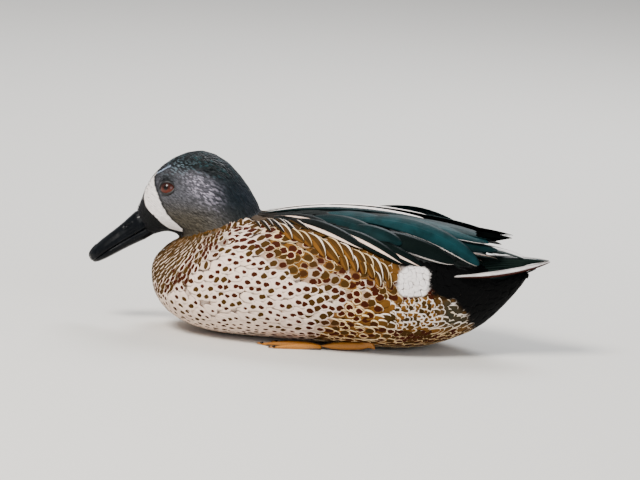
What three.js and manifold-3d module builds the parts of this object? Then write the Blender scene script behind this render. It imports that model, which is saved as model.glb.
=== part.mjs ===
// A drake blue-winged teal at rest on its belly, life size, in millimetres.
// +Z is up, the bill points along -Y and the bird's left side is +X.
// The origin is under the middle of the bird, on the floor that the belly and feet rest on.
import * as THREE from "three";
import { mergeVertices } from "three/addons/utils/BufferGeometryUtils.js";
import Module from "manifold-3d";

const wasm = await Module();
wasm.setup();

// Driving dimensions.
const GAP = 0.3; // clear cut between neighbouring pieces
const FLOOR = 0; // height of what the belly and feet rest on
const BEYOND = 200; // farther out than any part of the bird
const BILL_LENGTH = 43;
const BILL_BASE = { y: -115.5, z: 66 }; // middle of the bill where it leaves the face
const BILL_DROP = THREE.MathUtils.degToRad(36.5); // slope of the bill below the horizontal
const EYE = { x: 12, y: -98.9, z: 91.8, radius: 5.9 };
const WING_DEPTH = 9; // thickness of the folded wing against the body
const MANTLE = { half: 8, splay: THREE.MathUtils.degToRad(4.5) }; // back between the wings, narrowing aft
const VANE = 1.2; // thickness of a long feather's blade
const TAIL_ROOT = { y: 80, z: 59.5 };
const TAIL_LENGTH = 71; // of the middle pair
const TAIL_STEP = 13; // how much shorter the outer pair is
const TAIL_FEATHERS = 14;
const TAIL_HALF_WIDTH = { root: 20, tip: 10 };
const TAIL_RISE = 4.5; // how much higher the middle tips are than their roots
const TAIL_CREST = 3.5; // how much the middle feathers arch above that line
const TAIL_DROP = { root: 9, tip: 3 }; // how much lower the outer feathers lie
const RUMP_START = 93; // where the rump is parted from the trunk
const NECK_LINE = { y: -68, z: 73, slope: Math.atan2(30, 47) }; // where the neck is parted from the head

// How finely each closed form is faceted: points round it and steps along it.
const BODY_FACETS = [26, 22];
const HEAD_FACETS = [22, 18];
const CORE_FACETS = [12, 10];

// Body stations from breast to stern: the back line, the belly line, half the width there, and the
// height of the widest line as a share of the depth where it isn't the usual one.
const BODY_STATIONS = [
  { top: [-108.6, 37], bottom: [-108.6, 37], half: 0 },
  { top: [-106.5, 46], bottom: [-106, 26], half: 17 },
  { top: [-99.5, 53.5], bottom: [-99.5, 15], half: 29 },
  { top: [-88, 60.5], bottom: [-87, 6.5], half: 41 },
  { top: [-70, 69], bottom: [-68, 1], half: 51 },
  { top: [-41, 79], bottom: [-40, -1], half: 59.5 },
  { top: [-3, 86.8], bottom: [0, -1.3], half: 63.5 },
  { top: [39, 88], bottom: [40, -1], half: 62.5 },
  { top: [70, 81.5], bottom: [72, 1.5], half: 54, widest: 0.46 },
  { top: [97, 66.5], bottom: [94, 9], half: 38, widest: 0.55 },
  { top: [112, 59.5], bottom: [111, 18.5], half: 24, widest: 0.66 },
  { top: [125, 57], bottom: [124.5, 33], half: 14, widest: 0.7 },
  { top: [134.5, 56], bottom: [133.5, 45], half: 7, widest: 0.7 },
  { top: [138.5, 54], bottom: [138.5, 54], half: 0, widest: 0.7 },
];
// Head stations from the bill's root back to the neck's root: the crown line, the chin line, half the width.
const HEAD_STATIONS = [
  { top: [-117, 67], bottom: [-117, 67], half: 0 },
  { top: [-121.6, 73.4], bottom: [-110.8, 58.4], half: 8.2 },
  { top: [-118.6, 80.5], bottom: [-104.5, 60.6], half: 10.6 },
  { top: [-115.6, 91.5], bottom: [-99.5, 62], half: 13.6 },
  { top: [-108.5, 102.5], bottom: [-95.5, 61.5], half: 16.2 },
  { top: [-97, 112], bottom: [-91, 60], half: 18.4 },
  { top: [-82.5, 117], bottom: [-86, 57], half: 19.8 },
  { top: [-67.5, 113.5], bottom: [-81, 52.5], half: 20.8 },
  { top: [-54, 102], bottom: [-75, 47], half: 22.6 },
  { top: [-44.3, 89], bottom: [-68, 43], half: 25 },
  { top: [-37.5, 75], bottom: [-60, 41], half: 27.5 },
  { top: [-45, 52], bottom: [-45, 52], half: 0 },
];

const finish = (hex, roughness) => new THREE.MeshStandardMaterial({ color: hex, roughness, metalness: 0 });
const SLATE = finish(0x4a5260, 0.55);
const BUFF = finish(0xc9a676, 0.75);
const RUMP_BLACK = finish(0x14161a, 0.6);
const WING_GREEN = finish(0x1d2a2b, 0.5);
const BILL_BLACK = finish(0x121418, 0.35);
const IRIS = finish(0x5a1f0c, 0.08);
const LEG_ORANGE = finish(0xc98a2c, 0.5);

// ---- Making and joining shapes ----

// A sphere whose vertices are moved by place(along, turn): along runs 0 to 1 from its lower
// pole to its upper one, turn runs once round it. Each pole goes to the middle of its own ring.
function formed(around, steps, place) {
  const ball = new THREE.SphereGeometry(1, around, steps);
  const at = ball.getAttribute("position");
  const uv = ball.getAttribute("uv");
  const poles = [0, 1].map((along) => {
    const ring = Array.from({ length: around }, (_, i) => place(along, (i / around) * 2 * Math.PI));
    return ring.reduce((sum, p) => sum.add(p), new THREE.Vector3()).divideScalar(around);
  });
  for (let i = 0; i < at.count; i++) {
    const along = uv.getY(i);
    const p = along === 0 || along === 1 ? poles[along] : place(along, (uv.getX(i) % 1) * 2 * Math.PI);
    at.setXYZ(i, p.x, p.y, p.z);
  }
  return solid(ball);
}

function solid(geometry) {
  const bare = geometry.clone();
  bare.deleteAttribute("normal");
  bare.deleteAttribute("uv");
  const merged = mergeVertices(bare, 1e-3);
  const positions = new Float32Array(merged.getAttribute("position").array);
  return new wasm.Manifold(
    new wasm.Mesh({ numProp: 3, vertProperties: positions, triVerts: new Uint32Array(merged.index.array) }),
  );
}

function joined(pieces) {
  return pieces.reduce((whole, piece) => whole.add(piece));
}

function box(low, high) {
  const size = high.clone().sub(low);
  const middle = low.clone().add(high).multiplyScalar(0.5);
  const block = new THREE.BoxGeometry(size.x, size.y, size.z);
  return solid(block.translate(middle.x, middle.y, middle.z));
}

function meshOf(name, shape, material) {
  const largest = shape.decompose().reduce((a, b) => (a.volume() > b.volume() ? a : b));
  const made = largest.getMesh();
  const points = new Float32Array(made.numVert * 3);
  for (let i = 0; i < made.numVert; i++) {
    points.set(made.vertProperties.subarray(i * made.numProp, i * made.numProp + 3), i * 3);
  }
  const geometry = new THREE.BufferGeometry();
  geometry.setAttribute("position", new THREE.BufferAttribute(points, 3));
  geometry.setIndex(new THREE.BufferAttribute(new Uint32Array(made.triVerts), 1));
  const mesh = new THREE.Mesh(geometry, material);
  mesh.name = name;
  return mesh;
}

const power = (value, exponent) => Math.sign(value) * Math.abs(value) ** exponent;
const curve = (points, closed = false) =>
  new THREE.CatmullRomCurve3(points.map(([x, y, z]) => new THREE.Vector3(x, y, z)), closed, "centripetal");

// One side's piece and its mirror image, as [left, right].
const bothSides = (shape) => [shape, shape.mirror([1, 0, 0])];

// ---- Trunk and head, each a closed form through its stations ----

// widest is the usual height of the widest line as a share of the depth. above and below are the
// exponents of the section over and under that line: 2 is an ellipse, and more is squarer.
function stationForm(stations, { widest, above, below }) {
  const widestLine = curve(stations.map((s) => [s.widest ?? widest, ...s.top]));
  const topLine = curve(stations.map((s) => [s.half, ...s.top]));
  const bottomLine = curve(stations.map((s) => [s.half, ...s.bottom]));
  return (grow, around, steps) =>
    formed(around, steps, (along, turn) => {
      const top = topLine.getPoint(along);
      const bottom = bottomLine.getPoint(along);
      const half = Math.max(0, (top.x + bottom.x) / 2 + grow * Math.sin(along * Math.PI) ** 0.25);
      const up = Math.sin(turn);
      const round = 2 / (up > 0 ? above : below);
      const rimShare = widestLine.getPoint(along).x;
      const share = rimShare + (up > 0 ? 1 - rimShare : rimShare) * power(up, round);
      const middle = top.clone().lerp(bottom, 0.5).setX(0);
      const rim = bottom.clone().lerp(top, share).setX(0);
      const outwards = rim.clone().sub(middle).setLength(grow * Math.abs(up));
      const ahead = topLine.getTangent(along).add(bottomLine.getTangent(along)).setX(0).normalize();
      const side = new THREE.Vector3(-half * power(Math.cos(turn), round), 0, 0);
      return rim.add(outwards).addScaledVector(ahead, grow * power(2 * along - 1, 9)).add(side);
    });
}

const bodyForm = stationForm(BODY_STATIONS, { widest: 0.44, above: 2.15, below: 2.4 });
const headForm = stationForm(HEAD_STATIONS, { widest: 0.42, above: 2.05, below: 2.2 });

// Everything over the floor and behind the given y.
function roomBehind(y) {
  return box(new THREE.Vector3(-BEYOND, y, FLOOR), new THREE.Vector3(BEYOND, BEYOND, BEYOND));
}

const aboveFloor = roomBehind(-BEYOND);

// ---- Head and neck ----

// Everything above the slanted line between the head and the neck, which is moved up by shift.
function headSide(shift) {
  const block = new THREE.BoxGeometry(BEYOND, BEYOND, BEYOND).translate(0, 0, BEYOND / 2 + shift);
  return solid(block.rotateX(NECK_LINE.slope).translate(0, NECK_LINE.y, NECK_LINE.z));
}

// ---- Bill ----

// A point on the bill: forward from the face, up from the bill's axis, out to the side.
function onBill(forward, up, side) {
  const along = new THREE.Vector2(-Math.cos(BILL_DROP), -Math.sin(BILL_DROP));
  return new THREE.Vector3(
    side,
    BILL_BASE.y + forward * along.x + up * along.y,
    BILL_BASE.z + forward * along.y - up * along.x,
  );
}

// Lines along the bill: forward, up, out to the side.
const BILL_ROOT = -7; // how far the bill runs back inside the face
const culmen = curve([
  [BILL_ROOT, 6.5, 0],
  [0, 9, 0],
  [7, 7.9, 0],
  [17, 6.4, 0],
  [28, 5.4, 0],
  [37, 3.9, 0],
  [41.5, 2, 0],
  [BILL_LENGTH, -0.6, 0],
]);
const billEdge = curve([
  [BILL_ROOT, -2.4, 5.5],
  [0, -2.6, 7.4],
  [9, -2.2, 7.4],
  [18, -1.8, 7.9],
  [29, -1.7, 8.8],
  [37, -2.1, 8],
  [41.5, -2.4, 5],
  [BILL_LENGTH, -2.2, 0],
]);
const billKeel = curve([
  [BILL_ROOT, -7.5, 4],
  [0, -9, 5.8],
  [9, -8, 5.8],
  [18, -7, 6.1],
  [29, -6.2, 7],
  [36, -5.5, 6.2],
  [40.5, -4.4, 3.6],
  [42, -3.4, 0],
]);

const BILL_EDGE_IN = 0.2; // how far the horn lies inside its drawn edge
const BILL_SOLE = 0.9; // how far the upper bill bulges below its edge

// Carries a bill form's growth out past both of its ends.
const pastEnds = (grow, along) => grow * power(2 * along - 1, 3);

function upperBill(grow) {
  return formed(16, 12, (along, turn) => {
    const ridge = culmen.getPoint(along);
    const edge = billEdge.getPoint(along);
    const up = Math.sin(turn);
    const arch = (ridge.y - edge.y + grow) * power(up, 1.15);
    const sole = (BILL_SOLE + grow) * up * Math.sin(along * Math.PI);
    const side = (Math.max(0, edge.z - BILL_EDGE_IN) + grow) * power(Math.cos(turn), 0.85);
    const forward = THREE.MathUtils.lerp(edge.x, ridge.x, Math.max(0, up));
    return onBill(forward + pastEnds(grow, along), edge.y + (up > 0 ? arch : sole), side);
  });
}

function lowerBill(grow) {
  return formed(12, 9, (along, turn) => {
    const edge = billEdge.getPoint(along);
    const keel = billKeel.getPoint(along);
    const middle = (edge.y + keel.y) / 2;
    const depth = Math.max(0.4, (edge.y - keel.y) / 2) + grow;
    const side = (Math.max(0, keel.z - BILL_EDGE_IN) + grow) * power(Math.cos(turn), 0.8);
    return onBill(keel.x + pastEnds(grow, along), middle + depth * power(Math.sin(turn), 0.9), side);
  });
}

// ---- Eyes ----

function eyeball(radius) {
  const ball = new THREE.SphereGeometry(radius, 12, 8);
  return solid(ball.rotateZ(Math.PI / 2).translate(EYE.x, EYE.y, EYE.z));
}

// ---- Long feathers ----

const AXIS_HEIGHT = 45; // blades on the flank lie square to a line at this height

// A flat blade from root to tip. roll turns its face about its own length, and a larger point
// moves its widest place towards the tip.
function blade({ root, middle, tip, width, roll = 0, point = 0.55, faces = "out", steps = 5, grow = 0 }) {
  const spine = curve([root, middle, tip]);
  return formed(4, steps, (along, turn) => {
    const at = spine.getPoint(along);
    const ahead = spine.getTangent(along);
    const outward =
      faces === "up" ? new THREE.Vector3(0, 0, 1) : new THREE.Vector3(at.x, 0, at.z - AXIS_HEIGHT);
    outward.normalize().applyAxisAngle(ahead, roll);
    const across = new THREE.Vector3().crossVectors(ahead, outward).normalize();
    const face = new THREE.Vector3().crossVectors(across, ahead).normalize();
    const half = (width / 2 + grow) * Math.sin(Math.PI * along ** (1 + point)) ** 0.6;
    const corner = turn + Math.PI / 4;
    const end = Math.sin(along * Math.PI) ** 0.2;
    return at
      .addScaledVector(across, -half * Math.SQRT2 * Math.cos(corner))
      .addScaledVector(face, (VANE / 2 + grow) * end * Math.SQRT2 * Math.sin(corner));
  });
}

// Shoulder feathers and tertials of the left wing, from the back down to the flank.
const TERTIALS = [
  { root: [13, 14, 87], middle: [18.5, 62, 84.8], tip: [15, 112, 75.5], width: 15 },
  { root: [23, 20, 84], middle: [31, 68, 82], tip: [25, 107.5, 61], width: 15 },
  { root: [36, 26, 78.5], middle: [41.5, 62, 73.5], tip: [33, 92, 62.5], width: 13 },
];
const SCAPULARS = [
  { root: [25, -22, 81.5], middle: [40, 6, 78], tip: [52.5, 34, 69.5], width: 10 },
  { root: [34, 8, 81.5], middle: [48.5, 35, 73], tip: [51.5, 60, 61.5], width: 10 },
  { root: [40, 26, 77], middle: [48, 50, 69], tip: [45.5, 72, 59.5], width: 10 },
];
const PRIMARY_COUNT = 5;

// One wing tip feather, from the outermost, 0, in.
function primary(index) {
  const inner = index / (PRIMARY_COUNT - 1);
  return blade({
    root: [20 + 3 * inner, 52 - 6 * inner, 78 - 4 * inner],
    middle: [14 + 3 * inner, 92 - 8 * inner, 79.5 - 2.5 * inner],
    tip: [5.5 + 2 * inner, 126 - 9 * inner, 77.5 - 2 * inner],
    width: 9,
    point: 0.35,
    roll: 0.25,
  });
}

function tailFeather(index) {
  const share = (2 * index) / (TAIL_FEATHERS - 1) - 1; // -1 on the right, 1 on the left
  const reach = TAIL_LENGTH - TAIL_STEP * Math.abs(share) ** 1.5;
  const between = (ends, part) => THREE.MathUtils.lerp(ends.root, ends.tip, part);
  const at = (part) => [
    share * between(TAIL_HALF_WIDTH, part),
    TAIL_ROOT.y + reach * part,
    TAIL_ROOT.z + TAIL_RISE * part - between(TAIL_DROP, part) * share ** 2
      + TAIL_CREST * Math.sin(part * Math.PI) * (1 - share ** 2),
  ];
  const lie = { faces: "up", roll: share * 0.5, point: 0.2, steps: 4 };
  return blade({ root: at(0), middle: at(0.5), tip: at(1), width: 11, ...lie });
}

// ---- Folded wing ----

// The wing's lower edge against the flank, y and z.
const wingEdge = [
  [-36, 90],
  [-22, 85.5],
  [-10, 82],
  [10, 76.5],
  [33, 70],
  [51, 62.5],
  [62, 58.5],
  [80, 58.5],
];

// Turns a drawing of y across and z up into one that lies in the side view, extruded along x.
const SIDE_VIEW = new THREE.Matrix4().makeBasis(
  new THREE.Vector3(0, 1, 0),
  new THREE.Vector3(0, 0, 1),
  new THREE.Vector3(1, 0, 0),
);

const WING_REAR = { y: 88, z: 64, slant: 4 }; // lower rear corner, and how far the rear edge leans back
const OVER_BACK = 110; // higher than the back
const WING_REACH = 80; // farther out than the flank

// The left wing's part of the side view, pushed out sideways from the strip of the back.
function wingRegion(grow) {
  const [front, ...edge] = wingEdge;
  const outline = new THREE.Shape();
  outline.moveTo(front[0] - grow, OVER_BACK);
  outline.lineTo(front[0] - grow, front[1] - grow);
  outline.splineThru(edge.map(([y, z]) => new THREE.Vector2(y, z - grow)));
  outline.lineTo(WING_REAR.y + grow, WING_REAR.z - grow);
  outline.lineTo(WING_REAR.y + WING_REAR.slant + grow, OVER_BACK);
  const block = new THREE.ExtrudeGeometry(outline, {
    depth: WING_REACH,
    bevelEnabled: false,
    curveSegments: 5,
  });
  block.applyMatrix4(SIDE_VIEW);
  return solid(block.rotateZ(MANTLE.splay).translate(MANTLE.half - grow, 0, 0));
}

// ---- Legs, folded under the belly ----

const LEG = {
  knee: [30, 26, 17], // inside the flank feathers
  heel: [38, 43, 4.3],
  toes: [42.5, 11, 2.4],
};
const TOE_TIPS = [
  [34.5, -20, 1.2],
  [45, -28, 1.2],
  [55, -19, 1.2],
];
const HIND_TOE = [-5, 9, 1.3]; // tip: beside and behind the toes' root, and its height
const WEB = { thick: 1.1, rootHalf: 3, notch: [5, 6] }; // notch: how far each web's edge is drawn in
const CLAW = { length: 3.6, height: 0.9, spread: 0.08 };
const LIMB_STEPS = 4;

// A tapered limb from one point to another, with rounded ends.
function limb(from, to, fromRadius, toRadius, around = 8) {
  const start = new THREE.Vector3(...from);
  const end = new THREE.Vector3(...to);
  const ahead = end.clone().sub(start).normalize();
  const level = new THREE.Vector3().crossVectors(new THREE.Vector3(0, 0, 1), ahead).normalize();
  const rise = new THREE.Vector3().crossVectors(ahead, level);
  return formed(around, LIMB_STEPS, (along, turn) => {
    const radius = THREE.MathUtils.lerp(fromRadius, toRadius, along);
    const reach = -Math.cos(along * Math.PI);
    const at = start.clone().lerp(end, along).addScaledVector(ahead, radius * power(reach, 3));
    const ring = radius * Math.sin(along * Math.PI) ** 0.45;
    return at.addScaledVector(level, ring * Math.cos(turn)).addScaledVector(rise, ring * Math.sin(turn));
  });
}

function web() {
  const [rootX, rootY] = LEG.toes;
  const outline = new THREE.Shape();
  outline.moveTo(rootX - WEB.rootHalf, rootY);
  outline.lineTo(TOE_TIPS[0][0], TOE_TIPS[0][1]);
  WEB.notch.forEach((depth, i) => {
    const [from, to] = [TOE_TIPS[i], TOE_TIPS[i + 1]];
    outline.quadraticCurveTo((from[0] + to[0]) / 2, (from[1] + to[1]) / 2 + depth, to[0], to[1]);
  });
  outline.lineTo(rootX + WEB.rootHalf, rootY);
  const settings = { depth: WEB.thick, bevelEnabled: false, curveSegments: 3 };
  return solid(new THREE.ExtrudeGeometry(outline, settings));
}

function foot() {
  const [rootX, rootY] = LEG.toes;
  const toes = TOE_TIPS.map((tip) => limb(LEG.toes, tip, 2.4, 1.2, 6));
  const claws = TOE_TIPS.map(([x, y, z]) => {
    const point = [x + (x - rootX) * CLAW.spread, y - CLAW.length, CLAW.height];
    return limb([x, y, z], point, 1.1, 0.5, 5);
  });
  const hindToe = limb(LEG.toes, [rootX + HIND_TOE[0], rootY + HIND_TOE[1], HIND_TOE[2]], 1.7, 0.9, 5);
  return joined([...toes, ...claws, hindToe, web()]).intersect(aboveFloor);
}

// Thigh and shank of the left leg in one piece, swollen by grow.
function leg(grow) {
  const thigh = limb(LEG.heel, LEG.knee, 3.8 + grow, 7 + grow);
  return thigh.add(limb(LEG.heel, LEG.toes, 2.9 + grow, 2.4 + grow));
}

// ---- Parting the whole into its pieces ----

const body = bodyForm(0, ...BODY_FACETS).intersect(aboveFloor);
const bodyRoom = bodyForm(GAP, ...BODY_FACETS);
const core = bodyForm(-WING_DEPTH, ...CORE_FACETS);
const coreWithGap = bodyForm(-WING_DEPTH - GAP, ...CORE_FACETS);
const longFeathers = (grow) =>
  joined([...TERTIALS, ...SCAPULARS].map((feather) => blade({ ...feather, grow })));

const leftWing = body.intersect(wingRegion(0)).subtract(core).add(longFeathers(0).subtract(core));
const wingRoom = wingRegion(GAP).subtract(coreWithGap).add(longFeathers(GAP));
const primaries = joined(Array.from({ length: PRIMARY_COUNT }, (_, i) => primary(i)));
const leftPrimaries = primaries.subtract(wingRoom).subtract(bodyRoom);

const headAndNeck = headForm(0, ...HEAD_FACETS).subtract(bodyRoom);
const sockets = joined(bothSides(eyeball(EYE.radius + GAP)));
const billRoom = upperBill(GAP).add(lowerBill(GAP));
const head = headAndNeck.intersect(headSide(GAP / 2)).subtract(billRoom).subtract(sockets);
const neck = headAndNeck.subtract(headSide(-GAP / 2));

const wingAndLegRoom = joined([...bothSides(wingRoom), ...bothSides(leg(GAP))]);
const trunkAndRump = body.subtract(wingAndLegRoom);
const trunk = trunkAndRump.subtract(roomBehind(RUMP_START - GAP));
const rump = trunkAndRump.intersect(roomBehind(RUMP_START));
const tail = joined(Array.from({ length: TAIL_FEATHERS }, (_, i) => tailFeather(i))).subtract(bodyRoom);

const duck = new THREE.Group();
function place(name, shape, material) {
  duck.add(meshOf(name, shape, material));
}

function placePair(name, shape, material) {
  const [left, right] = bothSides(shape);
  place(`${name}_left`, left, material);
  place(`${name}_right`, right, material);
}

place("head", head, SLATE);
place("neck", neck, SLATE);
place("trunk", trunk, BUFF);
place("rump", rump, RUMP_BLACK);
place("tail", tail, WING_GREEN);
place("bill_upper", upperBill(0), BILL_BLACK);
place("bill_lower", lowerBill(0).subtract(upperBill(GAP)), BILL_BLACK);
placePair("eye", eyeball(EYE.radius), IRIS);
placePair("wing", leftWing, WING_GREEN);
placePair("primaries", leftPrimaries, WING_GREEN);
placePair("leg", leg(0).intersect(aboveFloor), LEG_ORANGE);
placePair("foot", foot().subtract(leg(GAP)), LEG_ORANGE);

// The origin goes under the middle of the whole bird.
const reach = new THREE.Box3().setFromObject(duck);
duck.position.set(0, -reach.getCenter(new THREE.Vector3()).y, 0);

const part = new THREE.Group();
part.add(duck);
export default part;
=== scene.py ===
"""A drake blue-winged teal at rest on its belly, dressed with skin, feathers, horn and eyes.

Lengths are written in millimetres and turned to metres as a mesh is made. The bill points along -Y, the
bird's left side is +X, and the floor is at zero.
"""

import functools
import math
from types import SimpleNamespace

import bmesh
import bpy
import numpy as np
from mathutils import Matrix, Vector, noise
from mathutils.bvhtree import BVHTree


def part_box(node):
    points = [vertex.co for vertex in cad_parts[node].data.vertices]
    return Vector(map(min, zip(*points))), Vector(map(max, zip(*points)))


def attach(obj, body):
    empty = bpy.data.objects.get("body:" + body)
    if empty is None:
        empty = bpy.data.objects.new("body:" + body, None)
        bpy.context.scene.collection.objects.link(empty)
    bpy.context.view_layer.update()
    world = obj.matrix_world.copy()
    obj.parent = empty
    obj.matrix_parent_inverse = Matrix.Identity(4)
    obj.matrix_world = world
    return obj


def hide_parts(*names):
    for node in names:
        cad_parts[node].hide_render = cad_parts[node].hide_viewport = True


bl_info = {
    "name": "Resting Teal Drake",
    "version": (1, 0, 0),
    "blender": (4, 5, 0),
    "location": "3D View > Sidebar > Teal",
    "description": "Builds a life-size blue-winged teal drake at rest",
    "category": "Object",
}

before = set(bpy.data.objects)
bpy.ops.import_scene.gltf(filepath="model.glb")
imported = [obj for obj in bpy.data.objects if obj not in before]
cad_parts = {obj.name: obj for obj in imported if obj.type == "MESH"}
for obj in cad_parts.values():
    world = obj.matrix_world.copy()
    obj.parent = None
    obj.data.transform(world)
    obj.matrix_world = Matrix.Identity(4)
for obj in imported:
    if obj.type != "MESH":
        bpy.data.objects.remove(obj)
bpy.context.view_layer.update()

MM = 0.001
SEED = 7
SIDES = ("left", "right")


def linear(hex_colour):
    """An sRGB hex colour as linear red, green and blue."""
    parts = [int(hex_colour[i:i + 2], 16) / 255 for i in (0, 2, 4)]
    return tuple(p / 12.92 if p <= 0.04045 else ((p + 0.055) / 1.055) ** 2.4 for p in parts)


# ---- Settings that a user would change ----


def length_setting(name, description, millimetres):
    return bpy.props.FloatProperty(
        name=name, description=description, default=millimetres * MM,
        min=0.0, subtype="DISTANCE", unit="LENGTH"
    )


def colour_setting(name, description, hex_colour):
    return bpy.props.FloatVectorProperty(
        name=name, description=description, default=linear(hex_colour),
        min=0.0, max=1.0, size=3, subtype="COLOR"
    )


def angle_setting(name, description, degrees):
    return bpy.props.FloatProperty(
        name=name, description=description, default=math.radians(degrees), subtype="ANGLE", unit="ROTATION"
    )


class TealSizes(bpy.types.PropertyGroup):
    """How deep, long and close the feathers are."""

    head_coat: length_setting("Head coat", "How far the head's feather tips stand over the skin", 1.2)
    body_coat: length_setting("Body coat", "How far the body's feather tips stand over the skin", 1.9)
    face_spacing: length_setting("Face spacing", "Between the roots of the face's feathers", 0.8)
    neck_spacing: length_setting("Neck spacing", "Between the roots of the neck's feathers", 1.25)
    breast_spacing: length_setting("Breast spacing", "Between the roots of the breast's feathers", 2.5)
    flank_spacing: length_setting("Flank spacing", "Between the roots of the flank's feathers", 4.4)
    belly_spacing: length_setting("Belly spacing", "Between the roots of the belly's feathers", 5.6)
    back_spacing: length_setting("Back spacing", "Between the roots of the back's feathers", 5.0)
    stern_spacing: length_setting("Stern spacing", "Between the roots of the undertail feathers", 3.6)
    skin_face: length_setting("Skin face", "Size of the skin's faces", 1.4)


class TealColours(bpy.types.PropertyGroup):
    """The colours of the plumage, horn, skin and eyes."""

    slate: colour_setting("Slate", "Cheeks and sides of the head", "48484d")
    slate_low: colour_setting("Warm slate", "Throat and foreneck", "423d33")
    # Gloss is painted sheen: the light's purple-grey highlight on the cheek, painted into the plumage's
    # colour
    gloss: colour_setting("Gloss", "Purple-grey sheen of the cheek", "aca4b4")
    nape: colour_setting("Nape", "Blue-green back of the head and neck", "08141a")
    crown: colour_setting("Crown", "Dark crown with a green gloss", "070f0f")
    face: colour_setting("Face black", "Round the root of the bill", "040505")
    white: colour_setting("White", "Face crescent and patch beside the tail", "f4ebe6")
    pale: colour_setting("Pale flank", "Ground colour of the fore flank", "ead2c0")
    spot: colour_setting("Spot", "Round spots of the flank", "381404")
    olive: colour_setting("Olive spot", "The greener spots and feather centres", "3f290a")
    rust: colour_setting("Rust spot", "The redder spots", "3b1003")
    gold: colour_setting("Golden brown", "Ground colour of the rear flank and breast", "70491a")
    brown: colour_setting("Brown", "Upper flank and upper breast", "38260a")
    cream: colour_setting("Cream", "Fringes of the flank feathers", "e9c998")
    mantle: colour_setting("Mantle", "Brown-black feathers over the shoulders", "0c0906")
    teal: colour_setting("Teal", "Glossy green-blue of the long shoulder feathers", "12373b")
    green_black: colour_setting("Green black", "Shaded parts of the long feathers", "0a100e")
    streak: colour_setting("Streak", "Pale shaft streaks and feather edges", "f2d3bf")
    stern: colour_setting("Stern black", "Undertail and sides of the rump", "020202")
    rump: colour_setting("Rump", "Grey-olive of the rump and upper tail", "131c17")
    bill: colour_setting("Bill", "Blue-black horn", "040609")
    iris: colour_setting("Iris", "Red-brown ring of the eye", "2c0d03")
    leg: colour_setting("Leg", "Yellow-orange skin of the legs", "b8741d")
    web: colour_setting("Web", "Dusky skin between the toes", "332b21")


class TealStudio(bpy.types.PropertyGroup):
    """The floor, the lights and the camera."""

    floor: colour_setting("Floor", "Matt pale floor", "d8d5cf")
    key_power: bpy.props.FloatProperty(
        name="Key power", description="Power of the main soft light, in watts", default=62.0, min=0.0
    )
    sky: bpy.props.FloatProperty(
        name="Sky", description="Strength of the even light from all round", default=0.55, min=0.0
    )
    azimuth: angle_setting("Azimuth", "Where the camera stands round the bird", 96)
    elevation: angle_setting("Elevation", "How far the camera looks down", 9)
    roll: angle_setting("Roll", "How far the camera leans", 4)


# ---- Small tools for arrays of points, in millimetres ----


def ease(start, end, value):
    """0 at start and 1 at end, with a smooth change between them."""
    share = np.clip((np.asarray(value, float) - start) / (end - start), 0, 1)
    return share * share * (3 - 2 * share)


def mix(first, second, share):
    """Colours or numbers between first and second, by one share for each row."""
    share = np.asarray(share, float)
    first, second = np.asarray(first, float), np.asarray(second, float)
    if first.ndim + second.ndim > 0 and max(first.shape[-1:] + second.shape[-1:], default=1) == 3:
        share = share[..., None]
    return first + (second - first) * share


def layered(ground, *layers):
    """A colour or number under others, each with the share by which it covers what is under it."""
    for cover, share in layers:
        ground = mix(ground, cover, share)
    return ground


def unit(vectors):
    return vectors / np.maximum(np.linalg.norm(vectors, axis=-1, keepdims=True), 1e-9)


def wobble(points, size, seed):
    """Smooth noise from about -1 to 1 whose waves are size long."""
    shift = Vector((seed * 17.3, seed * 5.1, seed * 11.7))
    return np.array([noise.noise(Vector(p) / size + shift) for p in points]) * 1.6


def along_line(line, value):
    """The second number of a line of pairs, where its first number is value."""
    xs, ys = zip(*line)
    return np.interp(value, xs, ys)


# ---- Tools for meshes and objects ----


def mesh_of(form, name):
    """A finished bmesh form as a mesh."""
    mesh = bpy.data.meshes.new(name)
    form.to_mesh(mesh)
    form.free()
    return mesh


def places_of(mesh):
    """The places of a mesh's vertices, in millimetres."""
    places = np.empty(len(mesh.vertices) * 3)
    mesh.vertices.foreach_get("co", places)
    return places.reshape(-1, 3) / MM


def put_in_scene(name, data):
    holder = bpy.data.objects.new(name, data)
    bpy.context.scene.collection.objects.link(holder)
    return holder


def piece_from(form, name, smooth=True):
    """A finished bmesh form as a piece."""
    for face in form.faces:
        face.smooth = smooth
    return put_in_scene(name, mesh_of(form, name))


def of_kind(made, kind):
    """The vertices, edges or faces among what an operator made."""
    return [part for part in made if isinstance(part, kind)]


# ---- The bare form, measured from the frame ----


def form_of(nodes, grow=0.0):
    """The named solids as one merged form, swollen by grow. Their own meshes are loose triangles."""
    form = bmesh.new()
    for node in nodes:
        form.from_mesh(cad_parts[node].data)
    bmesh.ops.remove_doubles(form, verts=form.verts, dist=0.005 * MM)
    form.normal_update()
    for vertex in form.verts:
        vertex.co += vertex.normal * grow * MM
    return form


def remeshed(form, voxel):
    """One closed surface of even faces round everything in the form."""
    holder = put_in_scene("form", mesh_of(form, "form"))
    modifier = holder.modifiers.new("Remesh", "REMESH")
    modifier.mode = "VOXEL"
    modifier.voxel_size = voxel * MM
    depsgraph = bpy.context.evaluated_depsgraph_get()
    even = bmesh.new()
    even.from_mesh(bpy.data.meshes.new_from_object(holder.evaluated_get(depsgraph)))
    bpy.data.objects.remove(holder)
    return even


def smoothed(form, rounds, factor=0.5):
    """The form with its vertices eased towards their neighbours."""
    for _ in range(rounds):
        bmesh.ops.smooth_vert(
            form, verts=form.verts, factor=factor, use_axis_x=True, use_axis_y=True, use_axis_z=True
        )
    form.normal_update()
    return form


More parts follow.
